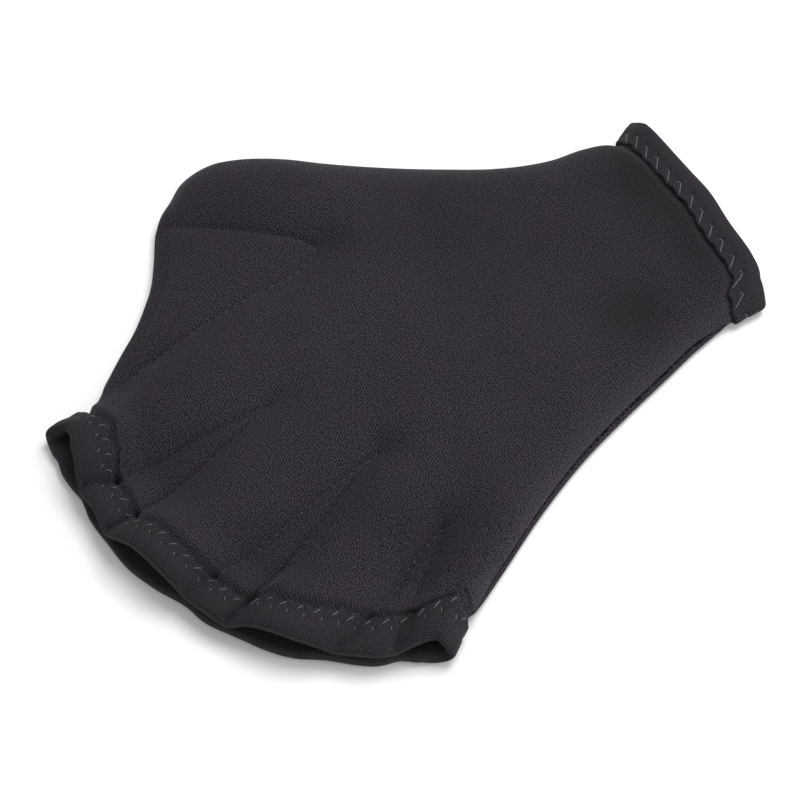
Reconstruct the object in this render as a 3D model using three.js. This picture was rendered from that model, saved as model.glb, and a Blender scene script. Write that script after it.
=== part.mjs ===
// A webbed swim glove of neoprene lying flat, in millimetres.
// +X points to the thumb, +Y from the wrist to the fingertips, +Z up. The glove rests on Z = 0.
import * as THREE from "three";

// Size of the panels, without the tape's fold
const GLOVE_LENGTH = 211;
const GLOVE_WIDTH = 172;

// Walls and tape
const PANEL_THICKNESS = 2.4;
const SQUEEZED_THICKNESS = 1.6;
const TAPE_THICKNESS = 1.0;
const TAPE_WIDTH = 9.0;
const CLEARANCE = 0.3;

// Heights of the upper panel above the surface that the glove lies on
const PALM_RISE = 8.2;
const MOUTH_RISE = 7.0;
const TAPE_STEP = 1.0;

// Rolled side edges and sewn lines
const ROLL_WIDTH = 5.0;
const SEAM_GROOVE_DEG = 35;
const SIDE_SLOPE = 6.0;
const STITCH_SLOPE = 6.5;
const WEB_PUFF = 0.7;
const WEB_FADE = 3.0;
const EDGE_RAMP = 11.0;
const SOFT_START = 0.8;
const CORNER_ROUND = 0.35;

// Mesh fineness
const ROLL_STEPS = 3;
const BODY_ROWS = 24;

const NEOPRENE_COLOUR = 0x36343a;
const TAPE_COLOUR = 0x3d3b41;

// Side edge on the little-finger side, from the cuff to the fingertip.
// along and across are shares of the length and the width, from the middle of the glove.
const LITTLE_SIDE = [
  { along: -0.414, across: -0.365 },
  { along: -0.396, across: -0.364 },
  { along: -0.372, across: -0.356 },
  { along: -0.307, across: -0.353 },
  { along: -0.225, across: -0.36 },
  { along: -0.144, across: -0.368 },
  { along: -0.054, across: -0.381 },
  { along: 0.042, across: -0.407 },
  { along: 0.141, across: -0.443 },
  { along: 0.209, across: -0.466 },
  { along: 0.226, across: -0.469 },
  { along: 0.244, across: -0.484 },
  { along: 0.256, across: -0.493 },
  { along: 0.268, across: -0.494 },
];

// Side edge on the thumb side, from the cuff round the thumb and along its web to the index finger.
const THUMB_SIDE = [
  { along: -0.4995, across: 0.056 },
  { along: -0.481, across: 0.0525 },
  { along: -0.465, across: 0.044 },
  { along: -0.453, across: 0.047 },
  { along: -0.441, across: 0.06 },
  { along: -0.417, across: 0.076 },
  { along: -0.362, across: 0.1 },
  { along: -0.295, across: 0.15 },
  { along: -0.236, across: 0.212 },
  { along: -0.183, across: 0.273 },
  { along: -0.113, across: 0.363 },
  { along: -0.075, across: 0.417 },
  { along: -0.02, across: 0.475 },
  { along: 0.01, across: 0.495 },
  { along: 0.041, across: 0.502 },
  { along: 0.072, across: 0.498 },
  { along: 0.101, across: 0.481 },
  { along: 0.126, across: 0.468 },
  { along: 0.141, across: 0.455 },
  { along: 0.169, across: 0.416 },
  { along: 0.203, across: 0.372 },
  { along: 0.239, across: 0.339 },
  { along: 0.275, across: 0.311 },
  { along: 0.313, across: 0.289 },
  { along: 0.339, across: 0.273 },
  { along: 0.364, across: 0.256 },
  { along: 0.377, across: 0.244 },
  { along: 0.387, across: 0.237 },
  { along: 0.397, across: 0.235 },
  { along: 0.407, across: 0.229 },
  { along: 0.419, across: 0.239 },
  { along: 0.432, across: 0.246 },
  { along: 0.461, across: 0.244 },
];

// Cuff edge under the tape, from the little-finger side to the thumb side. part runs from 0 to 1 across.
const CUFF_EDGE = [
  { part: 0, across: -0.365, along: -0.414 },
  { part: 0.075, across: -0.337, along: -0.433 },
  { part: 0.13, across: -0.31, along: -0.4395 },
  { part: 0.25, across: -0.245, along: -0.45 },
  { part: 0.45, across: -0.163, along: -0.468 },
  { part: 0.6, across: -0.105, along: -0.474 },
  { part: 0.75, across: -0.045, along: -0.481 },
  { part: 0.9, across: 0.012, along: -0.49 },
  { part: 1, across: 0.056, along: -0.4995 },
];

// Fingertip edge under the tape, from the little finger to the index finger.
// upper and lower are the reach of each panel along the glove. strips is the number of mesh strips to the next row.
const FINGERTIP_EDGE = [
  { place: "little side", across: -0.494, upper: 0.268, lower: 0.268, strips: 0 },
  { place: "little mouth", across: -0.4665, upper: 0.269, lower: 0.2935, strips: 1 },
  { place: "little mouth", across: -0.4577, upper: 0.281, lower: 0.3035, strips: 1 },
  { place: "little mouth", across: -0.448, upper: 0.301, lower: 0.31, strips: 1 },
  { place: "little pinch", across: -0.4405, upper: 0.316, lower: 0.316, strips: 1 },
  { place: "web 3", across: -0.43, upper: 0.333, lower: 0.334, strips: 1 },
  { place: "web 3", across: -0.4, upper: 0.361, lower: 0.363, strips: 1 },
  { place: "ring pinch", across: -0.379, upper: 0.376, lower: 0.377, strips: 1 },
  { place: "ring mouth", across: -0.3565, upper: 0.391, lower: 0.392, strips: 1 },
  { place: "ring mouth", across: -0.325, upper: 0.411, lower: 0.418, strips: 1 },
  { place: "ring mouth", across: -0.28, upper: 0.432, lower: 0.441, strips: 1 },
  { place: "ring mouth", across: -0.245, upper: 0.448, lower: 0.453, strips: 1 },
  { place: "ring pinch", across: -0.23, upper: 0.4585, lower: 0.4585, strips: 1 },
  { place: "web 2", across: -0.184, upper: 0.471, lower: 0.4735, strips: 1 },
  { place: "middle pinch", across: -0.145, upper: 0.4765, lower: 0.477, strips: 2 },
  { place: "middle mouth", across: -0.085, upper: 0.483, lower: 0.492, strips: 2 },
  { place: "middle mouth", across: -0.03, upper: 0.487, lower: 0.5, strips: 2 },
  { place: "middle pinch", across: 0.028, upper: 0.497, lower: 0.4975, strips: 1 },
  { place: "web 1", across: 0.075, upper: 0.487, lower: 0.494, strips: 2 },
  { place: "index pinch", across: 0.119, upper: 0.482, lower: 0.4835, strips: 1 },
  { place: "index mouth", across: 0.145, upper: 0.469, lower: 0.483, strips: 1 },
  { place: "index mouth", across: 0.172, upper: 0.457, lower: 0.48, strips: 2 },
  { place: "index mouth", across: 0.2, upper: 0.445, lower: 0.472, strips: 1 },
  { place: "index mouth", across: 0.22, upper: 0.444, lower: 0.47, strips: 1 },
  { place: "index side", across: 0.244, upper: 0.4615, lower: 0.4615, strips: 0 },
];

// Sewn lines of each web: out from the first end to the apex and back to the other end.
const WEBS = [
  {
    name: "thumb web",
    line: [
      { across: 0.5, along: 0.189 },
      { across: 0.39, along: 0.102 },
      { across: 0.324, along: 0.054 },
      { across: 0.267, along: 0.016 },
      { across: 0.226, along: 0 },
      { across: 0.21, along: 0.021 },
      { across: 0.206, along: 0.062 },
      { across: 0.219, along: 0.125 },
      { across: 0.229, along: 0.208 },
      { across: 0.236, along: 0.293 },
      { across: 0.26, along: 0.374 },
      { across: 0.5, along: 0.374 },
    ],
  },
  {
    name: "web 1",
    line: [
      { across: 0.122, along: 0.544 },
      { across: 0.119, along: 0.483 },
      { across: 0.088, along: 0.438 },
      { across: 0.066, along: 0.334 },
      { across: 0.031, along: 0.217 },
      { across: 0.02, along: 0.33 },
      { across: 0.019, along: 0.432 },
      { across: 0.029, along: 0.498 },
      { across: 0.03, along: 0.544 },
    ],
  },
  {
    name: "web 2",
    line: [
      { across: -0.135, along: 0.544 },
      { across: -0.143, along: 0.483 },
      { across: -0.155, along: 0.377 },
      { across: -0.152, along: 0.258 },
      { across: -0.153, along: 0.153 },
      { across: -0.175, along: 0.236 },
      { across: -0.205, along: 0.342 },
      { across: -0.228, along: 0.467 },
      { across: -0.235, along: 0.544 },
    ],
  },
  {
    name: "web 3",
    line: [
      { across: -0.372, along: 0.504 },
      { across: -0.373, along: 0.368 },
      { across: -0.361, along: 0.281 },
      { across: -0.341, along: 0.232 },
      { across: -0.325, along: 0.162 },
      { across: -0.362, along: 0.208 },
      { across: -0.403, along: 0.268 },
      { across: -0.446, along: 0.335 },
      { across: -0.48, along: 0.404 },
    ],
  },
];

// Soft hollows and humps of the upper panel. depth is in millimetres, and below zero for a hump.
const DENTS = [
  { place: "thumb web apex", across: 0.208, along: -0.004, reach: 0.035, depth: 2.2 },
  { place: "web 2 apex", across: -0.158, along: 0.146, reach: 0.03, depth: 2.0 },
  { place: "palm by the cuff", across: -0.25, along: -0.26, reach: 0.12, depth: 1.4 },
  { place: "below the thumb", across: 0.02, along: -0.212, reach: 0.12, depth: 1.2 },
  { place: "knuckles", across: 0.068, along: 0.009, reach: 0.15, depth: -0.9 },
  { place: "beside web 3", across: -0.34, along: 0.124, reach: 0.06, depth: 1.0 },
];

const panelMaterial = new THREE.MeshStandardMaterial({
  color: NEOPRENE_COLOUR,
  roughness: 0.9,
  metalness: 0,
});
const tapeMaterial = new THREE.MeshStandardMaterial({
  color: TAPE_COLOUR,
  roughness: 0.85,
  metalness: 0,
});

// A smooth line through the rows of a table, read by one of its columns.
function smoothLine(rows, input, output, inputScale, outputScale) {
  const x = rows.map((row) => row[input] * inputScale);
  const y = rows.map((row) => row[output] * outputScale);
  const chord = x.slice(1).map((value, i) => (y[i + 1] - y[i]) / (value - x[i]));
  const slope = x.map((_, i) => {
    if (i === 0) return chord[0];
    if (i === x.length - 1) return chord[i - 1];
    const before = x[i] - x[i - 1];
    const after = x[i + 1] - x[i];
    return (chord[i - 1] * after + chord[i] * before) / (before + after);
  });
  return (at) => {
    if (at <= x[0]) return y[0] + slope[0] * (at - x[0]);
    const last = x.length - 1;
    if (at >= x[last]) return y[last] + slope[last] * (at - x[last]);
    const i = x.findIndex((value) => value > at) - 1;
    const span = x[i + 1] - x[i];
    const t = (at - x[i]) / span;
    const rise = t * t * (3 - 2 * t);
    const bend = t * (1 - t) * (1 - t) * slope[i] - t * t * (1 - t) * slope[i + 1];
    return y[i] + (y[i + 1] - y[i]) * rise + bend * span;
  };
}

const mix = (a, b, t) => a + (b - a) * t;
const ramp = (t) => Math.min(1, Math.max(0, t));
const ease = (t) => ramp(t) * ramp(t) * (3 - 2 * ramp(t));

// Rises from 0 at a line to 1 away from it, with a soft start.
function settle(distance, reach) {
  const away = Math.max(0, distance);
  return 1 - Math.exp((-away * away) / (reach * (away + SOFT_START)));
}

const littleSide = smoothLine(LITTLE_SIDE, "along", "across", GLOVE_LENGTH, GLOVE_WIDTH);
const thumbSide = smoothLine(THUMB_SIDE, "along", "across", GLOVE_LENGTH, GLOVE_WIDTH);
const cuffAcross = smoothLine(CUFF_EDGE, "part", "across", 1, GLOVE_WIDTH);
const cuffAlong = smoothLine(CUFF_EDGE, "part", "along", 1, GLOVE_LENGTH);
const tipReach = {
  upper: smoothLine(FINGERTIP_EDGE, "across", "upper", GLOVE_WIDTH, GLOVE_LENGTH),
  lower: smoothLine(FINGERTIP_EDGE, "across", "lower", GLOVE_WIDTH, GLOVE_LENGTH),
};
const TIP_START = FINGERTIP_EDGE[0].across * GLOVE_WIDTH;
const TIP_END = FINGERTIP_EDGE[FINGERTIP_EDGE.length - 1].across * GLOVE_WIDTH;
const ROLL_SHARE = ROLL_WIDTH / (TIP_END - TIP_START);

// How far a side edge leans, as the length of its slope against one millimetre along the glove.
function lean(side, y) {
  const step = 1.0;
  const slope = (side(y + step) - side(y - step)) / (2 * step);
  return Math.hypot(1, slope);
}

const webOutlines = WEBS.map((web) =>
  web.line.map((row) => [row.across * GLOVE_WIDTH, row.along * GLOVE_LENGTH]),
);

// Distance to a web's sewn line: above zero outside the web, below zero in it.
function webDistance(outline, x, y) {
  let nearest = Infinity;
  let inside = false;
  outline.forEach(([ax, ay], i) => {
    const [bx, by] = outline[(i + 1) % outline.length];
    if (ay > y !== by > y && x < ax + ((bx - ax) * (y - ay)) / (by - ay)) inside = !inside;
    if (i === outline.length - 1) return;
    const t = ramp(((x - ax) * (bx - ax) + (y - ay) * (by - ay)) / ((bx - ax) ** 2 + (by - ay) ** 2));
    nearest = Math.min(nearest, Math.hypot(x - mix(ax, bx, t), y - mix(ay, by, t)));
  });
  return inside ? -nearest : nearest;
}

const WEB_TOP = 2 * PANEL_THICKNESS + 2 * CLEARANCE;
const PINCH_TOP = 2 * SQUEEZED_THICKNESS + 3 * TAPE_THICKNESS + 4 * CLEARANCE + TAPE_STEP;

const nearTip = (fromTip) => 1 - ease((fromTip - TAPE_WIDTH) / EDGE_RAMP);

// Height of the upper panel where it is sewn down. fromTip is the distance to the fingertip edge.
const sewnHeight = (fromTip) => mix(WEB_TOP, PINCH_TOP, nearTip(fromTip));

// Height of the upper panel's outer face.
function topHeight(x, y, fromTip) {
  const rise = mix(PALM_RISE, MOUTH_RISE, nearTip(fromTip));
  const fromLittle = (x - littleSide(y)) / lean(littleSide, y);
  const fromThumb = (thumbSide(y) - x) / lean(thumbSide, y);
  let swell = settle(fromLittle, SIDE_SLOPE) * settle(fromThumb, SIDE_SLOPE);
  let webPuff = 0;
  webOutlines.forEach((outline) => {
    const distance = webDistance(outline, x, y);
    swell *= settle(distance, STITCH_SLOPE);
    if (distance < 0) webPuff = WEB_PUFF * settle(-distance, WEB_FADE);
  });
  const edgeFade = Math.min(settle(fromLittle, WEB_FADE), settle(fromThumb, WEB_FADE));
  let height = sewnHeight(fromTip) + rise * swell + webPuff * edgeFade;
  DENTS.forEach((dent) => {
    const dx = (x - dent.across * GLOVE_WIDTH) / (dent.reach * GLOVE_WIDTH);
    const dy = (y - dent.along * GLOVE_LENGTH) / (dent.reach * GLOVE_WIDTH);
    height -= dent.depth * swell * Math.exp(-dx * dx - dy * dy);
  });
  return height;
}

// Share of the tape zone's squeeze at a distance from a bound edge.
const taped = (distance) => 1 - ease((distance - TAPE_WIDTH + 0.8) / 3.2);

// Mesh columns as shares of the fingertip edge, so that a column meets every pinch between the rolled sides.
const columns = [ROLL_SHARE];
FINGERTIP_EDGE.forEach((row, i) => {
  for (let k = 0; k < row.strips; k++) {
    const across = mix(row.across, FINGERTIP_EDGE[i + 1].across, k / row.strips) * GLOVE_WIDTH;
    const share = (across - TIP_START) / (TIP_END - TIP_START);
    if (share > ROLL_SHARE && share < 1 - ROLL_SHARE) columns.push(share);
  }
});
columns.push(1 - ROLL_SHARE);

// A point of the flat pattern. u runs across and s along one lengthwise line, both from 0 to 1.
function planPoint(layer, u, s) {
  const tipX = mix(TIP_START, TIP_END, u);
  const y = mix(cuffAlong(u), tipReach[layer](tipX), s);
  const straight = mix(cuffAcross(u), tipX, s);
  const littleY = mix(cuffAlong(0), tipReach[layer](TIP_START), s);
  const thumbY = mix(cuffAlong(1), tipReach[layer](TIP_END), s);
  const littlePull = littleSide(littleY) - mix(cuffAcross(0), TIP_START, s);
  const thumbPull = thumbSide(thumbY) - mix(cuffAcross(1), TIP_END, s);
  const x = straight + littlePull * (1 - u) ** 2 + thumbPull * ramp((u - 0.3) / 0.7) ** 1.6;
  return [x, y];
}

// Share of a lengthwise line at a square distance in from the fingertip edge or the cuff edge.
function shareAt(layer, u, distance, fromCuff) {
  const at = fromCuff ? 0 : 1;
  const inward = fromCuff ? 0.02 : 0.98;
  const [x, y] = planPoint(layer, u, at);
  const [xi, yi] = planPoint(layer, u, inward);
  const side = u < 0.99 ? 0.01 : -0.01;
  const [xs, ys] = planPoint(layer, u + side, at);
  const area = Math.abs((xi - x) * (ys - y) - (yi - y) * (xs - x));
  const square = area / Math.hypot(xs - x, ys - y);
  const share = (distance / square) * 0.02;
  return fromCuff ? share : 1 - share;
}

// Rows of the mesh, each as its distance from the cuff edge, from the fingertip edge, or as a share between.
const TAPE_ROW = TAPE_WIDTH - CLEARANCE - TAPE_THICKNESS;
const FREE_ROW = TAPE_WIDTH + 2.5;
const rows = [{ cuff: 0 }, { cuff: TAPE_ROW }, { cuff: FREE_ROW }];
for (let k = 1; k < BODY_ROWS; k++) rows.push({ share: (k / BODY_ROWS) ** 0.92 });
rows.push({ tip: FREE_ROW }, { tip: TAPE_ROW }, { tip: 0 });

// Both panels share their rows at the two side seams.
function rowShare(panel, u, row) {
  const layer = u === 0 || u === 1 ? "upper" : panel;
  if (row.cuff !== undefined) return shareAt(layer, u, row.cuff, true);
  if (row.tip !== undefined) return shareAt(layer, u, row.tip, false);
  const first = shareAt(layer, u, FREE_ROW, true);
  const last = shareAt(layer, u, FREE_ROW, false);
  return mix(first, last, row.share);
}

// A place of the flat pattern on a row, with its distances from both bound edges.
function rowPlace(layer, u, row) {
  const s = rowShare(layer, u, row);
  const [x, y] = planPoint(layer, u, s);
  const fromTip = row.tip !== undefined ? row.tip : (1 - s) * GLOVE_LENGTH;
  const fromCuff = row.cuff !== undefined ? row.cuff : s * GLOVE_LENGTH;
  return { x, y, fromTip, fromCuff };
}

// What the tapes' squeeze makes of the sheet at a place.
function squeezed({ fromTip, fromCuff }) {
  const squeeze = Math.max(taped(fromTip), taped(fromCuff));
  const thickness = mix(PANEL_THICKNESS, SQUEEZED_THICKNESS, squeeze);
  const bottom = (TAPE_THICKNESS + CLEARANCE) * squeeze;
  return { squeeze, thickness, bottom };
}

// One station of a panel: the point on its outer face, the point on its inner face and the way out at each.
// across is { roll, left } on a rolled side or { u } on the body.
function station(layer, across, row) {
  const edges = [0, 1].map((end) => {
    const place = rowPlace(layer, end, row);
    const leaning = lean(end ? thumbSide : littleSide, place.y);
    return { ...place, leaning, inset: place.x + (end ? -1 : 1) * ROLL_WIDTH * leaning };
  });
  const shoulders = [ROLL_SHARE, 1 - ROLL_SHARE].map((u) => rowPlace(layer, u, row));
  if (across.roll === undefined) {
    const place = rowPlace(layer, across.u, row);
    const { squeeze, thickness, bottom } = squeezed(place);
    const { y, fromTip } = place;
    const share = (across.u - ROLL_SHARE) / (1 - 2 * ROLL_SHARE);
    const x = place.x + mix(edges[0].inset - shoulders[0].x, edges[1].inset - shoulders[1].x, share);
    if (layer === "lower") {
      return { outer: [x, y, bottom], inner: [x, y, bottom + thickness], out: [0, 0, -1], into: [0, 0, 1] };
    }
    const z = topHeight(x, y, fromTip) - TAPE_STEP * squeeze;
    return { outer: [x, y, z], inner: [x, y, z - thickness], out: [0, 0, 1], into: [0, 0, -1] };
  }
  const side = across.left ? 0 : 1;
  const { x: sideX, leaning } = edges[side];
  const innerTurn = (across.roll * Math.PI) / 2;
  const share = mix(1 - Math.cos(innerTurn), Math.sin(innerTurn), CORNER_ROUND);
  const between = (name) => mix(edges[side][name], shoulders[side][name], share);
  const y = between("y");
  const fromTip = between("fromTip");
  const { squeeze, thickness, bottom } = squeezed({ fromTip, fromCuff: between("fromCuff") });
  const inward = side ? -1 : 1;
  const up = layer === "lower" ? -1 : 1;
  const shoulder = sewnHeight(fromTip) - TAPE_STEP * squeeze;
  const seam = (bottom + shoulder) / 2;
  const gap = CLEARANCE / 2;
  const groove = THREE.MathUtils.degToRad(SEAM_GROOVE_DEG) * (1 - squeeze);
  const turn = mix(-groove, Math.PI / 2, across.roll);
  const half = Math.abs((up > 0 ? shoulder : bottom) - seam) - gap;
  const rollHeight = half / (1 + Math.sin(groove));
  const swell = (x) => (up > 0 ? topHeight(x, y, fromTip) - sewnHeight(fromTip) : 0);
  const outerX = sideX + inward * leaning * ROLL_WIDTH * (1 - Math.cos(turn));
  const outerZ = seam + up * (gap + rollHeight * (Math.sin(groove) + Math.sin(turn))) + swell(outerX);
  const innerWide = ROLL_WIDTH - thickness;
  const innerX = sideX + inward * leaning * (thickness + innerWide * (1 - Math.cos(innerTurn)));
  const innerZ = seam + up * (gap + (half - thickness) * Math.sin(innerTurn)) + swell(innerX);
  const way = new THREE.Vector2(Math.cos(turn) / ROLL_WIDTH, Math.sin(turn) / rollHeight).normalize();
  const wayIn = new THREE.Vector2(Math.cos(innerTurn), Math.sin(innerTurn));
  return {
    outer: [outerX, y, outerZ],
    inner: [innerX, y, innerZ],
    out: [-inward * way.x * leaning, 0, up * way.y],
    into: [inward * wayIn.x * leaning, 0, -up * wayIn.y],
  };
}

// All places across the glove, from the little-finger seam to the thumb seam.
const acrossPlaces = [];
for (let k = 0; k < ROLL_STEPS; k++) acrossPlaces.push({ roll: k / ROLL_STEPS, left: true });
columns.forEach((u) => acrossPlaces.push({ u }));
for (let k = ROLL_STEPS - 1; k >= 0; k--) acrossPlaces.push({ roll: k / ROLL_STEPS, left: false });

// Turns rings of points into one closed mesh. closeRows joins the last ring to the first.
// The strip of rows named by turned has its squares split the other way, to match the tape's.
function skin(grid, closeRows, closeColumns, flip, turned) {
  const wide = grid[0].length;
  const index = [];
  const lastRow = closeRows ? grid.length : grid.length - 1;
  const lastColumn = closeColumns ? wide : wide - 1;
  for (let j = 0; j < lastRow; j++) {
    for (let i = 0; i < lastColumn; i++) {
      const a = j * wide + i;
      const b = j * wide + ((i + 1) % wide);
      const c = ((j + 1) % grid.length) * wide + i;
      const d = ((j + 1) % grid.length) * wide + ((i + 1) % wide);
      if (j === turned && flip) index.push(a, c, d, a, d, b);
      else if (j === turned) index.push(a, d, c, a, b, d);
      else if (flip) index.push(a, c, b, b, c, d);
      else index.push(a, b, c, b, d, c);
    }
  }
  const geometry = new THREE.BufferGeometry();
  geometry.setAttribute("position", new THREE.Float32BufferAttribute(grid.flat(2), 3));
  geometry.setIndex(index);
  geometry.computeVertexNormals();
  return geometry;
}

// A panel: each lengthwise ring runs along the outer face and back along the inner face.
function panelGeometry(layer) {
  const grid = rows.map((row) => {
    const stations = acrossPlaces.map((across) => station(layer, across, row));
    const outer = stations.map((point) => point.outer);
    const inner = stations.map((point) => point.inner).reverse();
    return [...outer, ...inner];
  });
  const taped = layer === "upper" ? grid.length - 2 : 0;
  const body = skin(grid, false, true, layer === "lower", taped);
  // The two open ends of the ring are closed between the outer and the inner face.
  const index = Array.from(body.index.array);
  const wide = grid[0].length;
  [0, grid.length - 1].forEach((j) => {
    const facing = (j === 0) !== (layer === "lower");
    for (let i = 0; i < wide / 2 - 1; i++) {
      const a = j * wide + i;
      const b = j * wide + i + 1;
      const c = j * wide + wide - 1 - i;
      const d = j * wide + wide - 2 - i;
      if (facing) index.push(a, c, b, b, c, d);
      else index.push(a, b, c, b, d, c);
    }
  });
  body.setIndex(index);
  body.computeVertexNormals();
  return body;
}

// The tape's section: in is the distance in from the panel's edge, off the height off its face.
const NEAR = CLEARANCE;
const FAR = CLEARANCE + TAPE_THICKNESS;
const LEG = TAPE_ROW;
const FOLD = 0.7;
const TAPE_SECTION = [
  { face: "outer", in: LEG, off: FAR },
  { face: "outer", in: 0, off: FAR },
  { face: "outer", in: -FOLD * FAR, off: FOLD * FAR },
  { face: "outer", in: -FAR, off: 0 },
  { face: "inner", in: -FAR, off: 0 },
  { face: "inner", in: -FOLD * FAR, off: FOLD * FAR },
  { face: "inner", in: 0, off: FAR },
  { face: "inner", in: LEG, off: FAR },
  { face: "inner", in: LEG, off: NEAR },
  { face: "inner", in: -NEAR, off: NEAR },
  { face: "outer", in: -NEAR, off: NEAR },
  { face: "outer", in: LEG, off: NEAR },
];

// A binding: one closed loop of tape folded over both panels' edges at the cuff or at the fingertips.
function bindingGeometry(end) {
  const loop = [
    ...acrossPlaces.map((across) => ({ layer: "upper", across })),
    ...acrossPlaces
      .slice(1, -1)
      .reverse()
      .map((across) => ({ layer: "lower", across })),
  ];
  // The tape's legs run parallel to the panel between its edge row and the row just past the tape.
  const grid = loop.map(({ layer, across }) => {
    const sides = across.roll === 0 ? ["upper", "lower"] : [layer];
    return TAPE_SECTION.map((corner) => {
      const points = sides.map((name) => {
        const edge = station(name, across, { [end]: 0 });
        const back = station(name, across, { [end]: TAPE_ROW });
        const share = corner.in / TAPE_ROW;
        const way = corner.face === "outer" ? "out" : "into";
        return [0, 1, 2].map((axis) => {
          const slope = back.outer[axis] - edge.outer[axis];
          const run = axis < 2 || share > 0 ? share : 0;
          const height = share > 0 ? back[corner.face][axis] - edge[corner.face][axis] : slope;
          const lift = mix(edge[way][axis], back[way][axis], ramp(share)) * corner.off;
          return edge[corner.face][axis] + height * run + lift;
        });
      });
      const [x, y, z] = points[0];
      return across.roll === 0 ? [x, y, (z + points[1][2]) / 2] : [x, y, z];
    });
  });
  return skin(grid, true, true, end === "tip");
}

const glove = new THREE.Group();
glove.name = "webbed_swim_glove";

function addPiece(name, geometry, material) {
  const mesh = new THREE.Mesh(geometry, material.clone());
  mesh.name = name;
  glove.add(mesh);
}

addPiece("upper_panel", panelGeometry("upper"), panelMaterial);
addPiece("lower_panel", panelGeometry("lower"), panelMaterial);
addPiece("cuff_binding", bindingGeometry("cuff"), tapeMaterial);
addPiece("fingertip_binding", bindingGeometry("tip"), tapeMaterial);

export default glove;
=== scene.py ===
# %% [markdown]
# # A webbed swim glove, lying flat and empty
# The glove is cut from two matching sheets of neoprene, which is foam rubber about 2.5 mm thick with a
# thin knitted jersey bonded to each side. The sheets are joined along their side edges, sewn together
# along the outline of each web, and bound with folded tape at the wrist and at the open fingertips.
# Every piece here is computed on a grid of points from the same named sizes as the solid part, with the
# stitches, puckers and rounded edges that are too fine for a solid. A cloth simulation could drop the
# sheets on each other too, but foam rubber keeps the shape that its seams give it, so the height of the
# cloth is worked out from the distance to each seam instead. Lengths are in millimetres until a mesh is
# made, because that is how a pattern cutter would write them.

# %% Load the part's frame
import math

import bpy
import numpy as np
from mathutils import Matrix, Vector
from mathutils.bvhtree import BVHTree


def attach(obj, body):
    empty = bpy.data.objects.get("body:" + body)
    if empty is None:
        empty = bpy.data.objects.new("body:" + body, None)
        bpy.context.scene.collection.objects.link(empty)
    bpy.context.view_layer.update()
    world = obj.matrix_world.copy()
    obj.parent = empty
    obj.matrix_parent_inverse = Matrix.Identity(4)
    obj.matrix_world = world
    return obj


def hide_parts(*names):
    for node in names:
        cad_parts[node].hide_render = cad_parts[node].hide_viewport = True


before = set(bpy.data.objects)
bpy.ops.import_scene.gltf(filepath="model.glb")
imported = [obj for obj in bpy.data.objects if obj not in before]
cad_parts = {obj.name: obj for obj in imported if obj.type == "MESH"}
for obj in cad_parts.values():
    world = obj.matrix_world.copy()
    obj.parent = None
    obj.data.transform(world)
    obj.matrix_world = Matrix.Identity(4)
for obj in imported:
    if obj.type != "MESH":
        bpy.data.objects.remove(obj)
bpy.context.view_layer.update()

MM = 0.001

# %% [markdown]
# ## Sizes and outline
# The outline of the real glove is a flat pattern. Its side edges, its wrist edge and its fingertip edge are
# short tables of shares of the length and width, and a smooth line is drawn through each one. That keeps
# the curves fair with few numbers, as a spline along a pattern piece would.

# %% Named sizes
GLOVE_LENGTH = 211.0
GLOVE_WIDTH = 172.0
PANEL_THICKNESS = 2.4
SQUEEZED_THICKNESS = 1.6
TAPE_THICKNESS = 1.0
TAPE_WIDTH = 9.0
CLEARANCE = 0.3
# how high the hollow hand stands over the webs, in the palm and at the fingertips
PALM_RISE = 8.2
MOUTH_RISE = 7.0
EDGE_RAMP = 11.0
# how far the sheet steps down under the tape
TAPE_STEP = 1.0
# rolled side edge, and the groove where both sheets meet
ROLL_WIDTH = 5.0
SEAM_GROOVE = math.radians(35)
CORNER_ROUND = 0.35
# how far the slopes beside a side seam and a sewn line reach. Away from the fingertip tape they are gentler.
SIDE_SLOPE = 6.0
STITCH_SLOPE = 6.5
GENTLE_SLOPE = 9.0
GENTLE_RAMP = 40.0
# the two layers of a web puff up a little between its stitches
WEB_PUFF = 0.7
WEB_FADE = 3.0
WEB_TOP = 2 * PANEL_THICKNESS + 2 * CLEARANCE
PINCH_TOP = 2 * SQUEEZED_THICKNESS + 3 * TAPE_THICKNESS + 4 * CLEARANCE + TAPE_STEP
# how far in from the edge the tape reaches, and the rows that run parallel to it
TAPE_ROW = TAPE_WIDTH - CLEARANCE - TAPE_THICKNESS
FREE_ROW = TAPE_WIDTH + 2.5
# where an edge runs steeply, the tape takes at most this much more of a lengthwise line
STEEPEST = 1.4

# %% Outline tables, in shares of the length and width
# along, across
LITTLE_SIDE = np.array([
    (-0.414, -0.365), (-0.396, -0.364), (-0.372, -0.356), (-0.307, -0.353), (-0.225, -0.36),
    (-0.144, -0.368), (-0.054, -0.381), (0.042, -0.407), (0.141, -0.443), (0.209, -0.466), (0.226, -0.469),
    (0.244, -0.484), (0.256, -0.493), (0.268, -0.494),
])
# along, across
THUMB_SIDE = np.array([
    (-0.4995, 0.056), (-0.481, 0.0525), (-0.465, 0.044), (-0.453, 0.047), (-0.441, 0.06), (-0.417, 0.076),
    (-0.362, 0.1), (-0.295, 0.15), (-0.236, 0.212), (-0.183, 0.273), (-0.113, 0.363), (-0.075, 0.417),
    (-0.02, 0.475), (0.01, 0.495), (0.041, 0.502), (0.072, 0.498), (0.101, 0.481), (0.126, 0.468),
    (0.141, 0.455), (0.169, 0.416), (0.203, 0.372), (0.239, 0.339), (0.275, 0.311), (0.313, 0.289),
    (0.339, 0.273), (0.364, 0.256), (0.377, 0.244), (0.387, 0.237), (0.397, 0.235), (0.407, 0.229),
    (0.419, 0.239), (0.432, 0.246), (0.461, 0.244),
])
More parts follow.
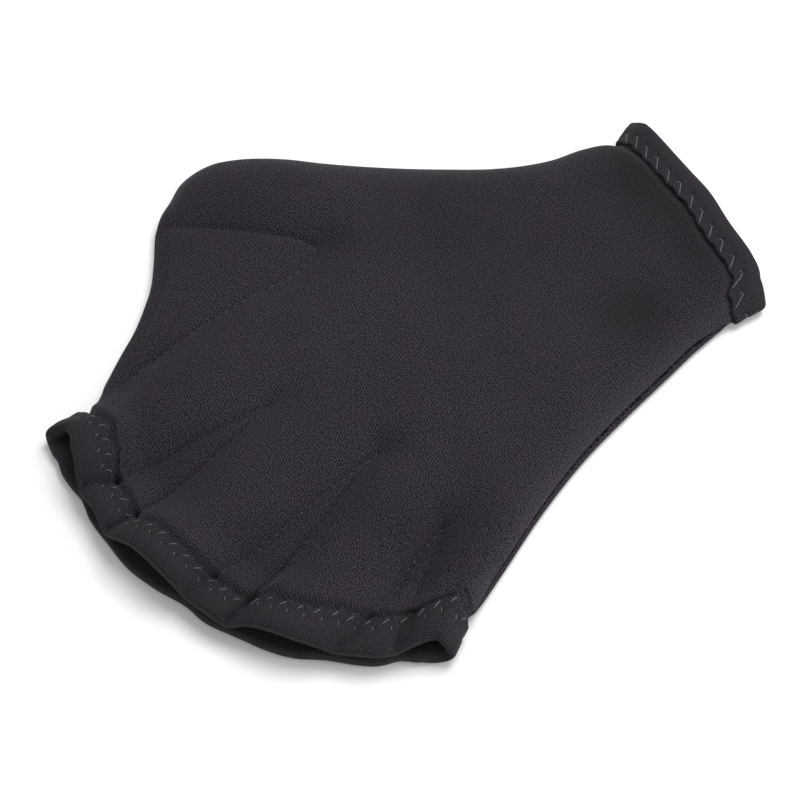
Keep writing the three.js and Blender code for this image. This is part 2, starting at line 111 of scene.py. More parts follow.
# part, across, along
CUFF_EDGE = np.array([
    (0, -0.365, -0.414), (0.075, -0.337, -0.433), (0.13, -0.31, -0.4395), (0.25, -0.245, -0.45),
    (0.45, -0.163, -0.468), (0.6, -0.105, -0.474), (0.75, -0.045, -0.481), (0.9, 0.012, -0.49),
    (1, 0.056, -0.4995),
])
# across, reach of the upper panel, reach of the lower panel
FINGERTIP_EDGE = np.array([
    (-0.494, 0.268, 0.268), (-0.4665, 0.269, 0.2935), (-0.4577, 0.281, 0.3035), (-0.448, 0.301, 0.31),
    (-0.4405, 0.316, 0.316), (-0.43, 0.333, 0.334), (-0.4, 0.361, 0.363), (-0.379, 0.376, 0.377),
    (-0.3565, 0.391, 0.392), (-0.325, 0.411, 0.418), (-0.28, 0.432, 0.441), (-0.245, 0.448, 0.453),
    (-0.23, 0.4585, 0.4585), (-0.184, 0.471, 0.4735), (-0.145, 0.4765, 0.477), (-0.085, 0.483, 0.492),
    (-0.03, 0.487, 0.5), (0.028, 0.497, 0.4975), (0.075, 0.487, 0.494), (0.119, 0.482, 0.4835),
    (0.145, 0.469, 0.483), (0.172, 0.457, 0.48), (0.2, 0.445, 0.472), (0.22, 0.444, 0.47),
    (0.244, 0.4615, 0.4615),
])


def smooth_line(x, y):
    """A smooth curve through points, straight beyond its ends."""
    span = np.diff(x)
    chord = np.diff(y) / span
    slope = np.empty_like(x)
    slope[1:-1] = (chord[:-1] * span[1:] + chord[1:] * span[:-1]) / (span[:-1] + span[1:])
    slope[0] = chord[0]
    slope[-1] = chord[-1]

    def line(at):
        at = np.asarray(at, dtype=float)
        i = np.clip(np.searchsorted(x, at, side="right") - 1, 0, len(x) - 2)
        t = (at - x[i]) / span[i]
        rise = t * t * (3 - 2 * t)
        bend = t * (1 - t) ** 2 * slope[i] - t * t * (1 - t) * slope[i + 1]
        inside = y[i] + (y[i + 1] - y[i]) * rise + bend * span[i]
        before = y[0] + slope[0] * (at - x[0])
        after = y[-1] + slope[-1] * (at - x[-1])
        return np.where(at <= x[0], before, np.where(at >= x[-1], after, inside))

    return line


little_side = smooth_line(LITTLE_SIDE[:, 0] * GLOVE_LENGTH, LITTLE_SIDE[:, 1] * GLOVE_WIDTH)
thumb_side = smooth_line(THUMB_SIDE[:, 0] * GLOVE_LENGTH, THUMB_SIDE[:, 1] * GLOVE_WIDTH)
cuff_across = smooth_line(CUFF_EDGE[:, 0], CUFF_EDGE[:, 1] * GLOVE_WIDTH)
cuff_along = smooth_line(CUFF_EDGE[:, 0], CUFF_EDGE[:, 2] * GLOVE_LENGTH)
tip_reach = {
    "upper": smooth_line(FINGERTIP_EDGE[:, 0] * GLOVE_WIDTH, FINGERTIP_EDGE[:, 1] * GLOVE_LENGTH),
    "lower": smooth_line(FINGERTIP_EDGE[:, 0] * GLOVE_WIDTH, FINGERTIP_EDGE[:, 2] * GLOVE_LENGTH),
}
TIP_START, TIP_END = FINGERTIP_EDGE[[0, -1], 0] * GLOVE_WIDTH
ROLL_SHARE = ROLL_WIDTH / (TIP_END - TIP_START)
print("fingertip edge runs from x", round(TIP_START, 1), "to", round(TIP_END, 1), "mm")

# %% [markdown]
# ## Flat pattern
# A sheet is laid out as lengthwise lines from the wrist edge to the fingertip edge. A place on it is u
# across and s along, both from 0 to 1. Near both bound edges the rows run parallel to the edge, so the
# tape and the puckers beside it follow the real binding.

# %% Small curves
SOFT_START = 0.8


def mix(a, b, t):
    return a + (b - a) * t


def ramp(t):
    return np.clip(t, 0, 1)


def ease(t):
    return ramp(t) ** 2 * (3 - 2 * ramp(t))


def settle(distance, reach):
    """Rises from 0 at a line to 1 away from it, with a soft start."""
    d = np.maximum(0, distance)
    return 1 - np.exp(-d * d / (reach * (d + SOFT_START)))


# %% Places on the flat pattern
# the thumb's side bends only the lines beyond this share across, and those nearest to it most
THUMB_PULL_FROM = 0.3
THUMB_PULL_POWER = 1.6
# shares along and across that are walked to find which way an edge runs
ALONG_PROBE = 0.02
ACROSS_PROBE = 0.01


def plan_point(layer, u, s):
    tip_x = mix(TIP_START, TIP_END, u)
    y = mix(cuff_along(u), tip_reach[layer](tip_x), s)
    straight = mix(cuff_across(u), tip_x, s)
    little_y = mix(cuff_along(0), tip_reach[layer](TIP_START), s)
    thumb_y = mix(cuff_along(1), tip_reach[layer](TIP_END), s)
    little_pull = little_side(little_y) - mix(cuff_across(0), TIP_START, s)
    thumb_pull = thumb_side(thumb_y) - mix(cuff_across(1), TIP_END, s)
    near_thumb = ramp((u - THUMB_PULL_FROM) / (1 - THUMB_PULL_FROM))
    x = straight + little_pull * (1 - u) ** 2 + thumb_pull * near_thumb**THUMB_PULL_POWER
    return x, y


def share_for(layer, u, distance, from_cuff):
    """Share of a lengthwise line at a square distance in from one bound edge."""
    at = 0.0 if from_cuff else 1.0
    inward = ALONG_PROBE if from_cuff else 1 - ALONG_PROBE
    side = np.where(u < 1 - ACROSS_PROBE, ACROSS_PROBE, -ACROSS_PROBE)
    x, y = plan_point(layer, u, at)
    x_in, y_in = plan_point(layer, u, inward)
    x_side, y_side = plan_point(layer, u + side, at)
    area = np.abs((x_in - x) * (y_side - y) - (y_in - y) * (x_side - x))
    length = np.hypot(x_in - x, y_in - y) / ALONG_PROBE
    square = np.maximum(area / np.hypot(x_side - x, y_side - y) / ALONG_PROBE, length / STEEPEST)
    return distance / square if from_cuff else 1 - distance / square


def row_shares(layer, u, rows):
    """Shares along of rows that are given by their distance from a bound edge or their share of the rest."""
    first = share_for(layer, u, FREE_ROW, True)
    last = share_for(layer, u, FREE_ROW, False)
    found = []
    for kind, value in rows:
        if kind == "share":
            found.append(mix(first, last, value))
        else:
            found.append(share_for(layer, u, value, kind == "cuff"))
    return np.array(found)


def lean(side, y):
    """How far a side edge leans, as its length for one millimetre along the glove."""
    return np.hypot(1, (side(y + 1) - side(y - 1)) / 2)


# %% [markdown]
# ## Webs, dents and painted light and shade
# Between the fingers the two sheets lie on each other and are sewn along a narrow V. Each V is a short table
# of points, drawn smooth. The height of the upper sheet falls to each sewn line as a cushion falls to its
# piping, and one function gives the distance to the line and the place along it for grooves and puckers.
# The cloth's colour is also painted paler or darker in a few soft patches, which are painted light and
# painted shade. That could be left to noise, but the eye knows such a picture by where its few soft patches
# are, so they are a short table as well.

# %% Sewn lines of the webs
# how far each web sinks between its fingers, as a share of their height
SUNK = {"thumb web": 0.6, "web 1": 0.5, "web 2": 0.75, "web 3": 0.85}
# place of the apex in the list, how proud the thread stands on each arm, how deep each arm pinches the tape
# in millimetres, then across and along of each point
WEBS = {
    "thumb web": (4, (0.1, 0.6), (0.0, 0.0), [
        (0.5, 0.189), (0.39, 0.102), (0.324, 0.054), (0.267, 0.016), (0.226, 0), (0.21, 0.021),
        (0.206, 0.062), (0.219, 0.125), (0.229, 0.208), (0.236, 0.293), (0.26, 0.374), (0.5, 0.374),
    ]),
    "web 1": (4, (0.2, 0.3), (2.0, 2.3), [
        (0.122, 0.544), (0.119, 0.483), (0.088, 0.438), (0.066, 0.334), (0.031, 0.217), (0.02, 0.33),
        (0.019, 0.432), (0.029, 0.498), (0.03, 0.544),
    ]),
    "web 2": (4, (0.45, 0.1), (1.2, 2.8), [
        (-0.135, 0.544), (-0.143, 0.483), (-0.155, 0.377), (-0.152, 0.258), (-0.153, 0.153),
        (-0.175, 0.236), (-0.205, 0.342), (-0.228, 0.467), (-0.235, 0.544),
    ]),
    "web 3": (4, (0.4, 0.1), (1.4, 3.0), [
        (-0.372, 0.504), (-0.373, 0.368), (-0.361, 0.281), (-0.341, 0.232), (-0.325, 0.162),
        (-0.362, 0.208), (-0.403, 0.268), (-0.446, 0.335), (-0.48, 0.404),
    ]),
}

# %% Dents and patches of painted light and shade
# across, along, reach, depth in millimetres (below zero for a hump)
DENTS = [
    (0.208, -0.004, 0.035, 2.2),
    (-0.158, 0.146, 0.03, 2.0),
    (-0.25, -0.26, 0.12, 1.4),
    (0.02, -0.212, 0.12, 1.2),
    (0.068, 0.009, 0.15, -0.9),
    (-0.34, 0.124, 0.06, 1.0),
]
# across, along, reach, how much paler the colour is painted as painted light (below zero for darker, as
# painted shade)
PAINTED_LIGHT_AND_SHADE_PATCHES = [
    (-0.255, -0.258, 0.07, -0.4),
    (-0.2, -0.33, 0.2, -0.12),
    (-0.035, -0.4, 0.1, -0.22),
    (0.066, 0.019, 0.08, 0.14),
    (0.07, -0.15, 0.14, -0.26),
    (-0.377, 0.155, 0.08, -0.16),
    (0.045, 0.174, 0.08, 0.1),
    (-0.205, 0.113, 0.07, 0.12),
    (-0.285, 0.208, 0.06, -0.16),
    (0.361, 0.037, 0.09, -0.16),
    (0.14, -0.2, 0.08, -0.08),
    (0.133, 0.351, 0.1, -0.12),
    (0.1, 0.3, 0.04, 0.1),
    (-0.185, 0.396, 0.08, -0.1),
]
# painted shade: how much darker the colour is painted beside the cuff's tape and how far in, then painted
# highlight:
# how much paler the colour is painted along the little finger's edge and how far in
PAINTED_CUFF_SHADE = (0.36, 11.0)
CUFF_SHADE_FADE = 25
PAINTED_EDGE_HIGHLIGHT = (0.3, 6.0)
print(len(DENTS), "dents and", len(PAINTED_LIGHT_AND_SHADE_PATCHES), "patches of nap")

# %% A web's line, drawn smooth
CURVE_STEPS = 5


def rounded(points, corner):
    """Catmull-Rom curve through points, as two curves that meet at the corner."""
    arms = [points[: corner + 1], points[corner:]]
    found = []
    for arm in arms:
        ends = np.vstack([2 * arm[0] - arm[1], arm, 2 * arm[-1] - arm[-2]])
        for a, b, c, d in zip(ends, ends[1:], ends[2:], ends[3:]):
            for t in np.arange(CURVE_STEPS) / CURVE_STEPS:
                steep = 2 * a - 5 * b + 4 * c - d
                found.append(0.5 * (2 * b + (c - a) * t + steep * t**2 + (3 * (b - c) + d - a) * t**3))
        found.append(arm[-1])
    apex = corner * CURVE_STEPS
    del found[apex + 1]
    return np.array(found), apex


# %% Distance to a web's line
class Web:
    def __init__(self, name, corner, proud, pinch, shares):
        self.name = name
        self.sunk = SUNK[name]
        self.proud = proud
        self.pinch = pinch
        self.line, self.apex = rounded(np.array(shares) * (GLOVE_WIDTH, GLOVE_LENGTH), corner)
        steps = np.hypot(*np.diff(self.line, axis=0).T)
        self.arc = np.concatenate([[0], np.cumsum(steps)])

    def nearest(self, x, y):
        """Distance to the sewn line (below zero in the web) and the place along it."""
        best = np.full(np.shape(x), np.inf)
        along = np.zeros(np.shape(x))
        inside = np.zeros(np.shape(x), dtype=bool)
        count = len(self.line)
        for i in range(count):
            ax, ay = self.line[i]
            bx, by = self.line[(i + 1) % count]
            if ay != by:
                crosses = (ay > y) != (by > y)
                inside ^= crosses & (x < ax + (bx - ax) * (y - ay) / (by - ay))
            if i == count - 1:
                break
            t = ramp(((x - ax) * (bx - ax) + (y - ay) * (by - ay)) / ((bx - ax) ** 2 + (by - ay) ** 2))
            distance = np.hypot(x - mix(ax, bx, t), y - mix(ay, by, t))
            closer = distance < best
            best = np.where(closer, distance, best)
            along = np.where(closer, mix(self.arc[i], self.arc[i + 1], t), along)
        return np.where(inside, -best, best), along

    def on_arm(self, values, along):
        """The value for the arm that a place along the line is on."""
        return np.where(along < self.arc[self.apex], values[0], values[1])


webs = [Web(name, *facts) for name, facts in WEBS.items()]
print("sewn lines:", {web.name: round(web.arc[-1]) for web in webs}, "mm")

# %% [markdown]
# ## Height of the upper sheet
# The sheet stands over the hollow hand like a shallow pillow. It sinks at the sewn lines and the side
# seams, swells over each finger, and is pressed flat under the tapes. Broad dents come from the table
# above. A few slow waves and small puckers beside the stitches keep it from looking machined. A line whose
# thread stands proud is a shallow groove, and one whose thread is drawn in is a deep one.

# %% Stitches, grooves and waves
STITCH_LENGTH = 3.1
# half width of the groove that a sewn line presses into the cloth, and its depth
GROOVE_WIDTH = 0.7
DEEP_GROOVE = 1.05
SHALLOW_GROOVE = 0.4
UNDERSIDE_GROOVE = 0.45
# the cloth between two stitches puckers up a little, and this far beside them
PUCKER_HEIGHT = 0.07
PUCKER_REACH = 2.0
# wavelength in millimetres, direction in degrees, height in millimetres, start
WAVES = [
    (47, 20, 0.22, 0.3), (31, 75, 0.16, 1.9), (23, 140, 0.11, 4.1), (15, 55, 0.06, 2.6), (11, 110, 0.04, 0.9),
]


def stitch_beat(along):
    """1 where the thread goes through the cloth, -1 in the middle of a stitch."""
    return np.cos(2 * np.pi * along / STITCH_LENGTH)


def groove_shape(distance, beat):
    return np.exp(-((distance / GROOVE_WIDTH) ** 2)) * (0.85 - 0.15 * beat)


# %% Height of the outer face
def top_height(x, y, from_tip, fine=True):
    """Height of the upper sheet's outer face, and with fine=True its grooves and puckers too."""
    at_tip = 1 - ease((from_tip - TAPE_WIDTH) / EDGE_RAMP)
    base = mix(WEB_TOP, PINCH_TOP, at_tip)
    rise = mix(PALM_RISE, MOUTH_RISE, at_tip)
    from_little = (x - little_side(y)) / lean(little_side, y)
    from_thumb = (thumb_side(y) - x) / lean(thumb_side, y)
    swell = settle(from_little, SIDE_SLOPE) * settle(from_thumb, SIDE_SLOPE)
    gentle = ease((from_tip - TAPE_WIDTH) / GENTLE_RAMP) if fine else 0
    stitch_slope = mix(STITCH_SLOPE, GENTLE_SLOPE, gentle)
    puff = 0
    relief = 0
    for web in webs:
        distance, along = web.nearest(x, y)
        swell = swell * mix(1, settle(distance, stitch_slope), mix(1, web.sunk, gentle))
        puff = puff + np.where(distance < 0, WEB_PUFF * settle(-distance, WEB_FADE), 0)
        if fine:
            depth = mix(DEEP_GROOVE, SHALLOW_GROOVE, web.on_arm(web.proud, along))
            beat = stitch_beat(along)
            relief = relief - depth * groove_shape(distance, beat)
            relief = relief + PUCKER_HEIGHT * beat * np.exp(-np.abs(distance) / PUCKER_REACH)
    edge_fade = np.minimum(settle(from_little, WEB_FADE), settle(from_thumb, WEB_FADE))
    height = base + rise * swell + puff * edge_fade
    for across, along, reach, depth in DENTS:
        dx = (x - across * GLOVE_WIDTH) / (reach * GLOVE_WIDTH)
        dy = (y - along * GLOVE_LENGTH) / (reach * GLOVE_WIDTH)
        height = height - depth * swell * np.exp(-dx * dx - dy * dy)
    if fine:
        for length, turn, size, start in WAVES:
            across = x * math.cos(math.radians(turn)) + y * math.sin(math.radians(turn))
            relief = relief + size * swell * np.sin(2 * np.pi * across / length + start)
        height = height + relief * edge_fade
    return height


# %% Under and beside a tape
CREASE_WIDTH = 1.2
CREASE_SINK = 1.9
# how far under the tape the squeeze starts to let go, and over what distance, for the solids' shape and
# for the real cloth, which stands up close to the tape
SOLID_RAMP = (0.8, 3.2)
CLOTH_RAMP = (1.0, 2.8)
ZIGZAG_PITCH = {"cuff": 6.0, "tip": 5.0}
TAPE_PUCKERS = {"cuff": 0.12, "tip": 0.16}
TAPE_PUCKER_REACH = 3.0


def crease_sink(x, y):
    """How far the sheet under the tape is pulled down where a sewn line of a web crosses the tape."""
    sunk = 0
    for web in webs:
        distance, along = web.nearest(x, y)
        pinched = CREASE_SINK * ramp(web.on_arm(web.pinch, along) / 2)
        sunk = sunk + pinched * np.exp(-np.abs(distance) / CREASE_WIDTH)
    return sunk


def taped(distance, let_go=SOLID_RAMP):
    """How much of the tape's squeeze a place feels."""
    start, reach = let_go
    return 1 - ease((distance - TAPE_WIDTH + start) / reach)


def puckers_beside(end, edge_x, edge_y, distance, squeeze):
    """Small waves that the zigzag draws up in the cloth beside the tape."""
    arc = np.concatenate([[0], np.cumsum(np.hypot(np.diff(edge_x), np.diff(edge_y)))])
    beside = np.exp(-np.maximum(0, distance - TAPE_WIDTH) / TAPE_PUCKER_REACH) * (1 - squeeze)
    return TAPE_PUCKERS[end] * beside * np.cos(2 * np.pi * arc / ZIGZAG_PITCH[end])


# %% [markdown]
# ## Grid of a sheet
# A sheet is one grid of stations. On the body a station has a point on the outer face and one on the inner
# face. At both sides the grid turns down round the rolled edge to the side seam, where the upper and the
# lower sheet meet in a narrow groove. On the little finger's side the seam has slipped up a little, so a
# narrow lip of the lower sheet shows beside the upper one. The tapes ask for the same stations without the
# fine relief, so they lie on the sheets everywhere.

# %% Rolled side edge
# how far the upper sheet's edge is set back over the lip, over what distance from a tape that comes in, and
# how fast it is lost on the way up round the roll
SEAM_LIP = 2.4
LIP_FADE = 12
LIP_TURN = 1.3


def rolled_edge(layer, side, turns, end, body, fine):
    """Columns of a sheet from the seam up to the body: outer and inner points and the ways out of them."""
    up = 1 if layer == "upper" else -1
    let_go = CLOTH_RAMP if fine and up > 0 else SOLID_RAMP
    x_end, y_end, leaning, tip_end, cuff_end = end
    y_body, tip_body, cuff_body = body
    inward = -1 if side else 1
    gap = CLEARANCE / 2
    found = []
    for roll in turns:
        share = mix(1 - math.cos(roll * np.pi / 2), math.sin(roll * np.pi / 2), CORNER_ROUND)
        y_roll = mix(y_end, y_body, share)
        tip = mix(tip_end, tip_body, share)
        cuff = mix(cuff_end, cuff_body, share)
        squeeze = np.maximum(taped(tip, let_go), taped(cuff, let_go))
        thick = mix(PANEL_THICKNESS, SQUEEZED_THICKNESS, squeeze)
        bottom = (TAPE_THICKNESS + CLEARANCE) * squeeze
        base = mix(WEB_TOP, PINCH_TOP, 1 - ease((tip - TAPE_WIDTH) / EDGE_RAMP))
        shoulder = base - TAPE_STEP * squeeze
        seam = (bottom + shoulder) / 2
        groove = SEAM_GROOVE * (1 - squeeze)
        half = np.abs((shoulder if up > 0 else bottom) - seam) - gap
        roll_height = half / (1 + np.sin(groove))
        turn = mix(-groove, np.pi / 2, roll)
        outer_x = x_end + inward * leaning * ROLL_WIDTH * (1 - np.cos(turn))
        outer_z = seam + up * (gap + roll_height * (np.sin(groove) + np.sin(turn)))
        inner_turn = roll * np.pi / 2
        inner_x = x_end + inward * leaning * (thick + (ROLL_WIDTH - thick) * (1 - np.cos(inner_turn)))
        inner_z = seam + up * (gap + (half - thick) * np.sin(inner_turn))
        if up > 0:
            outer_z = outer_z + top_height(outer_x, y_roll, tip, False) - base
            inner_z = inner_z + top_height(inner_x, y_roll, tip, False) - base
        if fine and up > 0 and side == 0:
            near_tape = np.minimum(tip, cuff) - TAPE_WIDTH
            set_back = SEAM_LIP * ease(near_tape / LIP_FADE) * (1 - roll) ** LIP_TURN
            outer_x = outer_x + set_back
            inner_x = inner_x + set_back
        way = np.stack([np.cos(turn) / ROLL_WIDTH, np.sin(turn) / roll_height])
        way = way / np.hypot(*way)
        zero = np.zeros_like(outer_x)
        found.append((
            np.stack([outer_x, y_roll, outer_z], axis=1),
            np.stack([inner_x, y_roll, inner_z], axis=1),
            np.stack([-inward * way[0] * leaning, zero, up * way[1]], axis=1),
            np.stack([inward * np.cos(inner_turn) * leaning, zero, zero - up * np.sin(inner_turn)], axis=1),
        ))
    return [np.stack([one[k] for one in found], axis=1) for k in range(4)]


# %% Stations of a sheet
def from_edges(layer, u, s):
    """Square distances in from the fingertip edge and from the cuff edge."""
    tip = (1 - s) / (1 - share_for(layer, u, 1.0, False))
    cuff = s / share_for(layer, u, 1.0, True)
    return tip, cuff


def body_height(layer, x, y, from_tip, from_cuff, squeeze, fine):
    """Height of a sheet's outer face between its rolled edges."""
    if layer == "upper":
        z = top_height(x, y, from_tip, fine) - TAPE_STEP * squeeze
        if fine:
            z = z - crease_sink(x, y) * taped(from_tip)
            z = z + puckers_beside("tip", x[-1], y[-1], from_tip, squeeze)
            z = z + puckers_beside("cuff", x[0], y[0], from_cuff, squeeze)
        return z
    z = (TAPE_THICKNESS + CLEARANCE) * squeeze
    if fine:
        for web in webs:
            distance, along = web.nearest(x, y)
            z = z + UNDERSIDE_GROOVE * groove_shape(distance, stitch_beat(along))
    return z


def stations(layer, rows, roll_steps, columns, fine=False):
    """Outer and inner points of a sheet and the ways out of them, each as rows x columns x 3."""
    up = 1 if layer == "upper" else -1
    u = np.linspace(0, 1, columns + 1)
    turns = np.arange(roll_steps) / roll_steps
    body = mix(ROLL_SHARE, 1 - ROLL_SHARE, u)
    body_s = row_shares(layer, body, rows)
    x, y = plan_point(layer, body, body_s)
    ends = []
    for end, side_line in ((0.0, little_side), (1.0, thumb_side)):
        s = row_shares("upper", np.array([end]), rows)[:, 0]
        x_end, y_end = plan_point(layer, end, s)
        ends.append((x_end, y_end, lean(side_line, y_end), *from_edges(layer, end, s)))
    inset = [ends[0][0] + ROLL_WIDTH * ends[0][2], ends[1][0] - ROLL_WIDTH * ends[1][2]]
    x = x + (inset[0] - x[:, 0])[:, None] * (1 - u) + (inset[1] - x[:, -1])[:, None] * u

    from_tip, from_cuff = from_edges(layer, body, body_s)
    let_go = CLOTH_RAMP if fine and up > 0 else SOLID_RAMP
    squeeze = np.maximum(taped(from_tip, let_go), taped(from_cuff, let_go))
    thick = mix(PANEL_THICKNESS, SQUEEZED_THICKNESS, squeeze)
    z = body_height(layer, x, y, from_tip, from_cuff, squeeze, fine)
    flat = np.zeros_like(x)
    outward = np.stack([flat, flat, flat + up], axis=2)
    parts = [(np.stack([x, y, z], axis=2), np.stack([x, y, z - up * thick], axis=2), outward, -outward)]
    for side in (0, 1):
        beside = (y[:, -side], from_tip[:, -side], from_cuff[:, -side])
        edge = rolled_edge(layer, side, turns[::-1] if side else turns, ends[side], beside, fine)
        parts.insert(side * 2, edge)
    return [np.concatenate([part[k] for part in parts], axis=1) for k in range(4)]


# %% [markdown]
# ## From a grid to a mesh
# The outer face gets a fine grid for the puckers and grooves, and the hidden inner face a grid four times
# coarser. The rim between them is closed with many-sided faces, so the mesh is still one closed body. The
# inner face has a material of its own, nearly black, which is painted shade for the hollow inside the glove.
# Each vertex gets its place on the flat pattern, so that the knit runs over the rolled edge without being
# stretched, and the painted light and painted shade of its colour there, which the material reads.

# %% Mesh helpers
RIM_STEP = 4


def make_object(name, points, faces):
    mesh = bpy.data.meshes.new(name)
    mesh.from_pydata((np.asarray(points) * MM).tolist(), [], faces)
    mesh.polygons.foreach_set("use_smooth", [True] * len(mesh.polygons))
    mesh.validate()
    made = bpy.data.objects.new(name, mesh)
    bpy.context.collection.objects.link(made)
    return made


def grid_quads(rows, columns, start=0, flip=False):
    r, c = np.meshgrid(np.arange(rows - 1), np.arange(columns - 1), indexing="ij")
    a = (start + r * columns + c).ravel()
    quads = np.stack([a, a + 1, a + 1 + columns, a + columns], axis=1)
    return (quads[:, ::-1] if flip else quads).tolist()


def rim_path(rows, columns):
    """The grid's border as places (row, column), in turning order, without its last point twice."""
    low = [(0, c) for c in range(columns - 1)]
    right = [(r, columns - 1) for r in range(rows - 1)]
    high = [(rows - 1, c) for c in range(columns - 1, 0, -1)]
    left = [(r, 0) for r in range(rows - 1, 0, -1)]
    return low + right + high + left


# %% One closed body from two grids
def closed_sheet(name, outer, inner, flip):
    """Outer face and rim take the first material, the inner face takes the second."""
    rows, columns = outer.shape[:2]
    coarse = inner[::RIM_STEP, ::RIM_STEP]
    start = rows * columns
    faces = grid_quads(rows, columns, 0, flip)
    faces += grid_quads(*coarse.shape[:2], start, not flip)
    fine_rim = [r * columns + c for r, c in rim_path(rows, columns)]
    rim = [start + r * coarse.shape[1] + c for r, c in rim_path(*coarse.shape[:2])]
    rim_faces = []
    for i, near in enumerate(rim):
        run = [fine_rim[(i * RIM_STEP + k) % len(fine_rim)] for k in range(RIM_STEP + 1)]
        face = run[::-1] + [near, rim[(i + 1) % len(rim)]]
        rim_faces.append(face[::-1] if flip else face)
    made = make_object(name, np.vstack([outer.reshape(-1, 3), coarse.reshape(-1, 3)]), faces + rim_faces)
    made.data.polygons.foreach_set("use_smooth", [True] * len(faces) + [False] * len(rim_faces))
    shown = (rows - 1) * (columns - 1)
    inside = len(faces) - shown
    made.data.polygons.foreach_set("material_index", [0] * shown + [1] * inside + [0] * len(rim_faces))
    return made


# %% What the cloth remembers at each vertex
def add_flat_pattern(made, flat):
    """Keeps each vertex's place on the flat pattern, in millimetres, as the UV map of the cloth."""
    layer = made.data.uv_layers.new(name="flat_pattern")
    corner = np.empty(len(made.data.loops), dtype=np.int32)
    made.data.loops.foreach_get("vertex_index", corner)
    layer.data.foreach_set("uv", flat[corner].astype(np.float32).ravel())


def sheet_pattern(outer):
    """Flat-pattern places of a sheet's vertices: distance across the cloth, distance along."""
    step = np.hypot(np.diff(outer[:, :, 0], axis=1), np.diff(outer[:, :, 2], axis=1))
    run = np.concatenate([np.zeros((len(outer), 1)), np.cumsum(step, axis=1)], axis=1)
    middle = outer.shape[1] // 2
    across = outer[:, middle, 0][:, None] + run - run[:, middle][:, None]
    fine = np.stack([across, outer[:, :, 1]], axis=2)
    return np.vstack([fine.reshape(-1, 2), fine[::RIM_STEP, ::RIM_STEP].reshape(-1, 2)])


def add_painted_light_and_shade(made, outer):
    """Keeps the painted light and painted shade of the colour at each vertex of a sheet, as a factor on its
    brightness.
    """
    x, y = outer[..., 0], outer[..., 1]
    painted_light_and_shade = np.ones_like(x)
    for across, along, reach, paler in PAINTED_LIGHT_AND_SHADE_PATCHES:
        dx = (x - across * GLOVE_WIDTH) / (reach * GLOVE_WIDTH)
        dy = (y - along * GLOVE_LENGTH) / (reach * GLOVE_WIDTH)
        painted_light_and_shade = painted_light_and_shade + paler * np.exp(-dx * dx - dy * dy)
    from_cuff = np.hypot(x - x[0], y - y[0])
    from_little = (x - little_side(y)) / lean(little_side, y)
    # painted shade beside the cuff's tape, then a painted highlight along the little finger's edge
    darker, reach = PAINTED_CUFF_SHADE
    away_from_edge = ease(from_little / CUFF_SHADE_FADE)
    painted_light_and_shade = painted_light_and_shade - darker * np.exp(-(((from_cuff - TAPE_WIDTH) / reach) ** 2)) * away_from_edge
    paler, reach = PAINTED_EDGE_HIGHLIGHT
    painted_light_and_shade = painted_light_and_shade + paler * np.exp(-((from_little / reach) ** 2))
    values = np.ones(len(made.data.vertices), dtype=np.float32)
    values[: painted_light_and_shade.size] = painted_light_and_shade.ravel()
    made.data.attributes.new("painted_light_and_shade", "FLOAT", "POINT").data.foreach_set("value", values)


# %% The two sheets
ROLL_STEPS = 12


def sheet_rows(end_rows, body_rows):
    """Rows of a sheet: beside the cuff edge, then in even shares, then beside the fingertip edge."""
    cuff = [("cuff", FREE_ROW * k / end_rows) for k in range(end_rows)]
    body = [("share", k / body_rows) for k in range(body_rows + 1)]
    tip = [("tip", FREE_ROW * k / end_rows) for k in range(end_rows - 1, -1, -1)]
    return cuff + body + tip


def make_sheet(layer, name, columns, end_rows, body_rows):
    outer, inner, _, _ = stations(layer, sheet_rows(end_rows, body_rows), ROLL_STEPS, columns, fine=True)
    made = closed_sheet(name, outer, inner, layer == "lower")
    add_flat_pattern(made, sheet_pattern(outer))
    add_painted_light_and_shade(made, outer)
    print(name, "has", sum(len(face.vertices) - 2 for face in made.data.polygons), "triangles")
    return made


upper_sheet = make_sheet("upper", "upper_neoprene_sheet", columns=240, end_rows=32, body_rows=236)
lower_sheet = make_sheet("lower", "lower_neoprene_sheet", columns=160, end_rows=12, body_rows=184)

# %% [markdown]
# ## Binding tapes
# Each opening is bound with one loop of tape, folded over the edge of both sheets like a book's spine and
# held by a zigzag stitch on the inner half of its leg. A curve with a bevel would be quicker, but it can't
# follow the cloth on one side and swell on the other. So the section is swept round the loop in even steps,
# which also keeps the zigzag's pitch even. The fold is plump, the tape sinks under the zigzag, its inner
# edge is scalloped by the needle, and a sharp crease crosses it where the sewn line of a web runs through.

# %% Frames along a loop of tape
TAPE_STATION = 0.42
LOOP_COLUMNS = 420
LOOP_PARTS = ("outer", "inner", "out", "into")


def tape_loop(end):
    """Even stations round one opening: edge and inner row of both faces, and the ways out of them."""
    rows = [(end, 0.0), (end, TAPE_ROW)]
    upper = stations("upper", rows, ROLL_STEPS, LOOP_COLUMNS)
    lower = stations("lower", rows, ROLL_STEPS, LOOP_COLUMNS)
    loop = []
    for up, low in zip(upper, lower):
        both = up.copy()
        both[:, [0, -1]] = (up[:, [0, -1]] + low[:, [0, -1]]) / 2
        loop.append(np.concatenate([both, low[:, -2:0:-1]], axis=1))
    edge = loop[0][0]
    closed = np.vstack([edge, edge[:1]])
    arc = np.concatenate([[0], np.cumsum(np.linalg.norm(np.diff(closed, axis=0), axis=1))])
    loop = [np.concatenate([values, values[:, :1]], axis=1) for values in loop]
    made = dict(zip(LOOP_PARTS, loop))
    made["arc"] = arc
    count = int(arc[-1] / TAPE_STATION)
    return loop_at(made, np.arange(count) * arc[-1] / count), arc[-1]


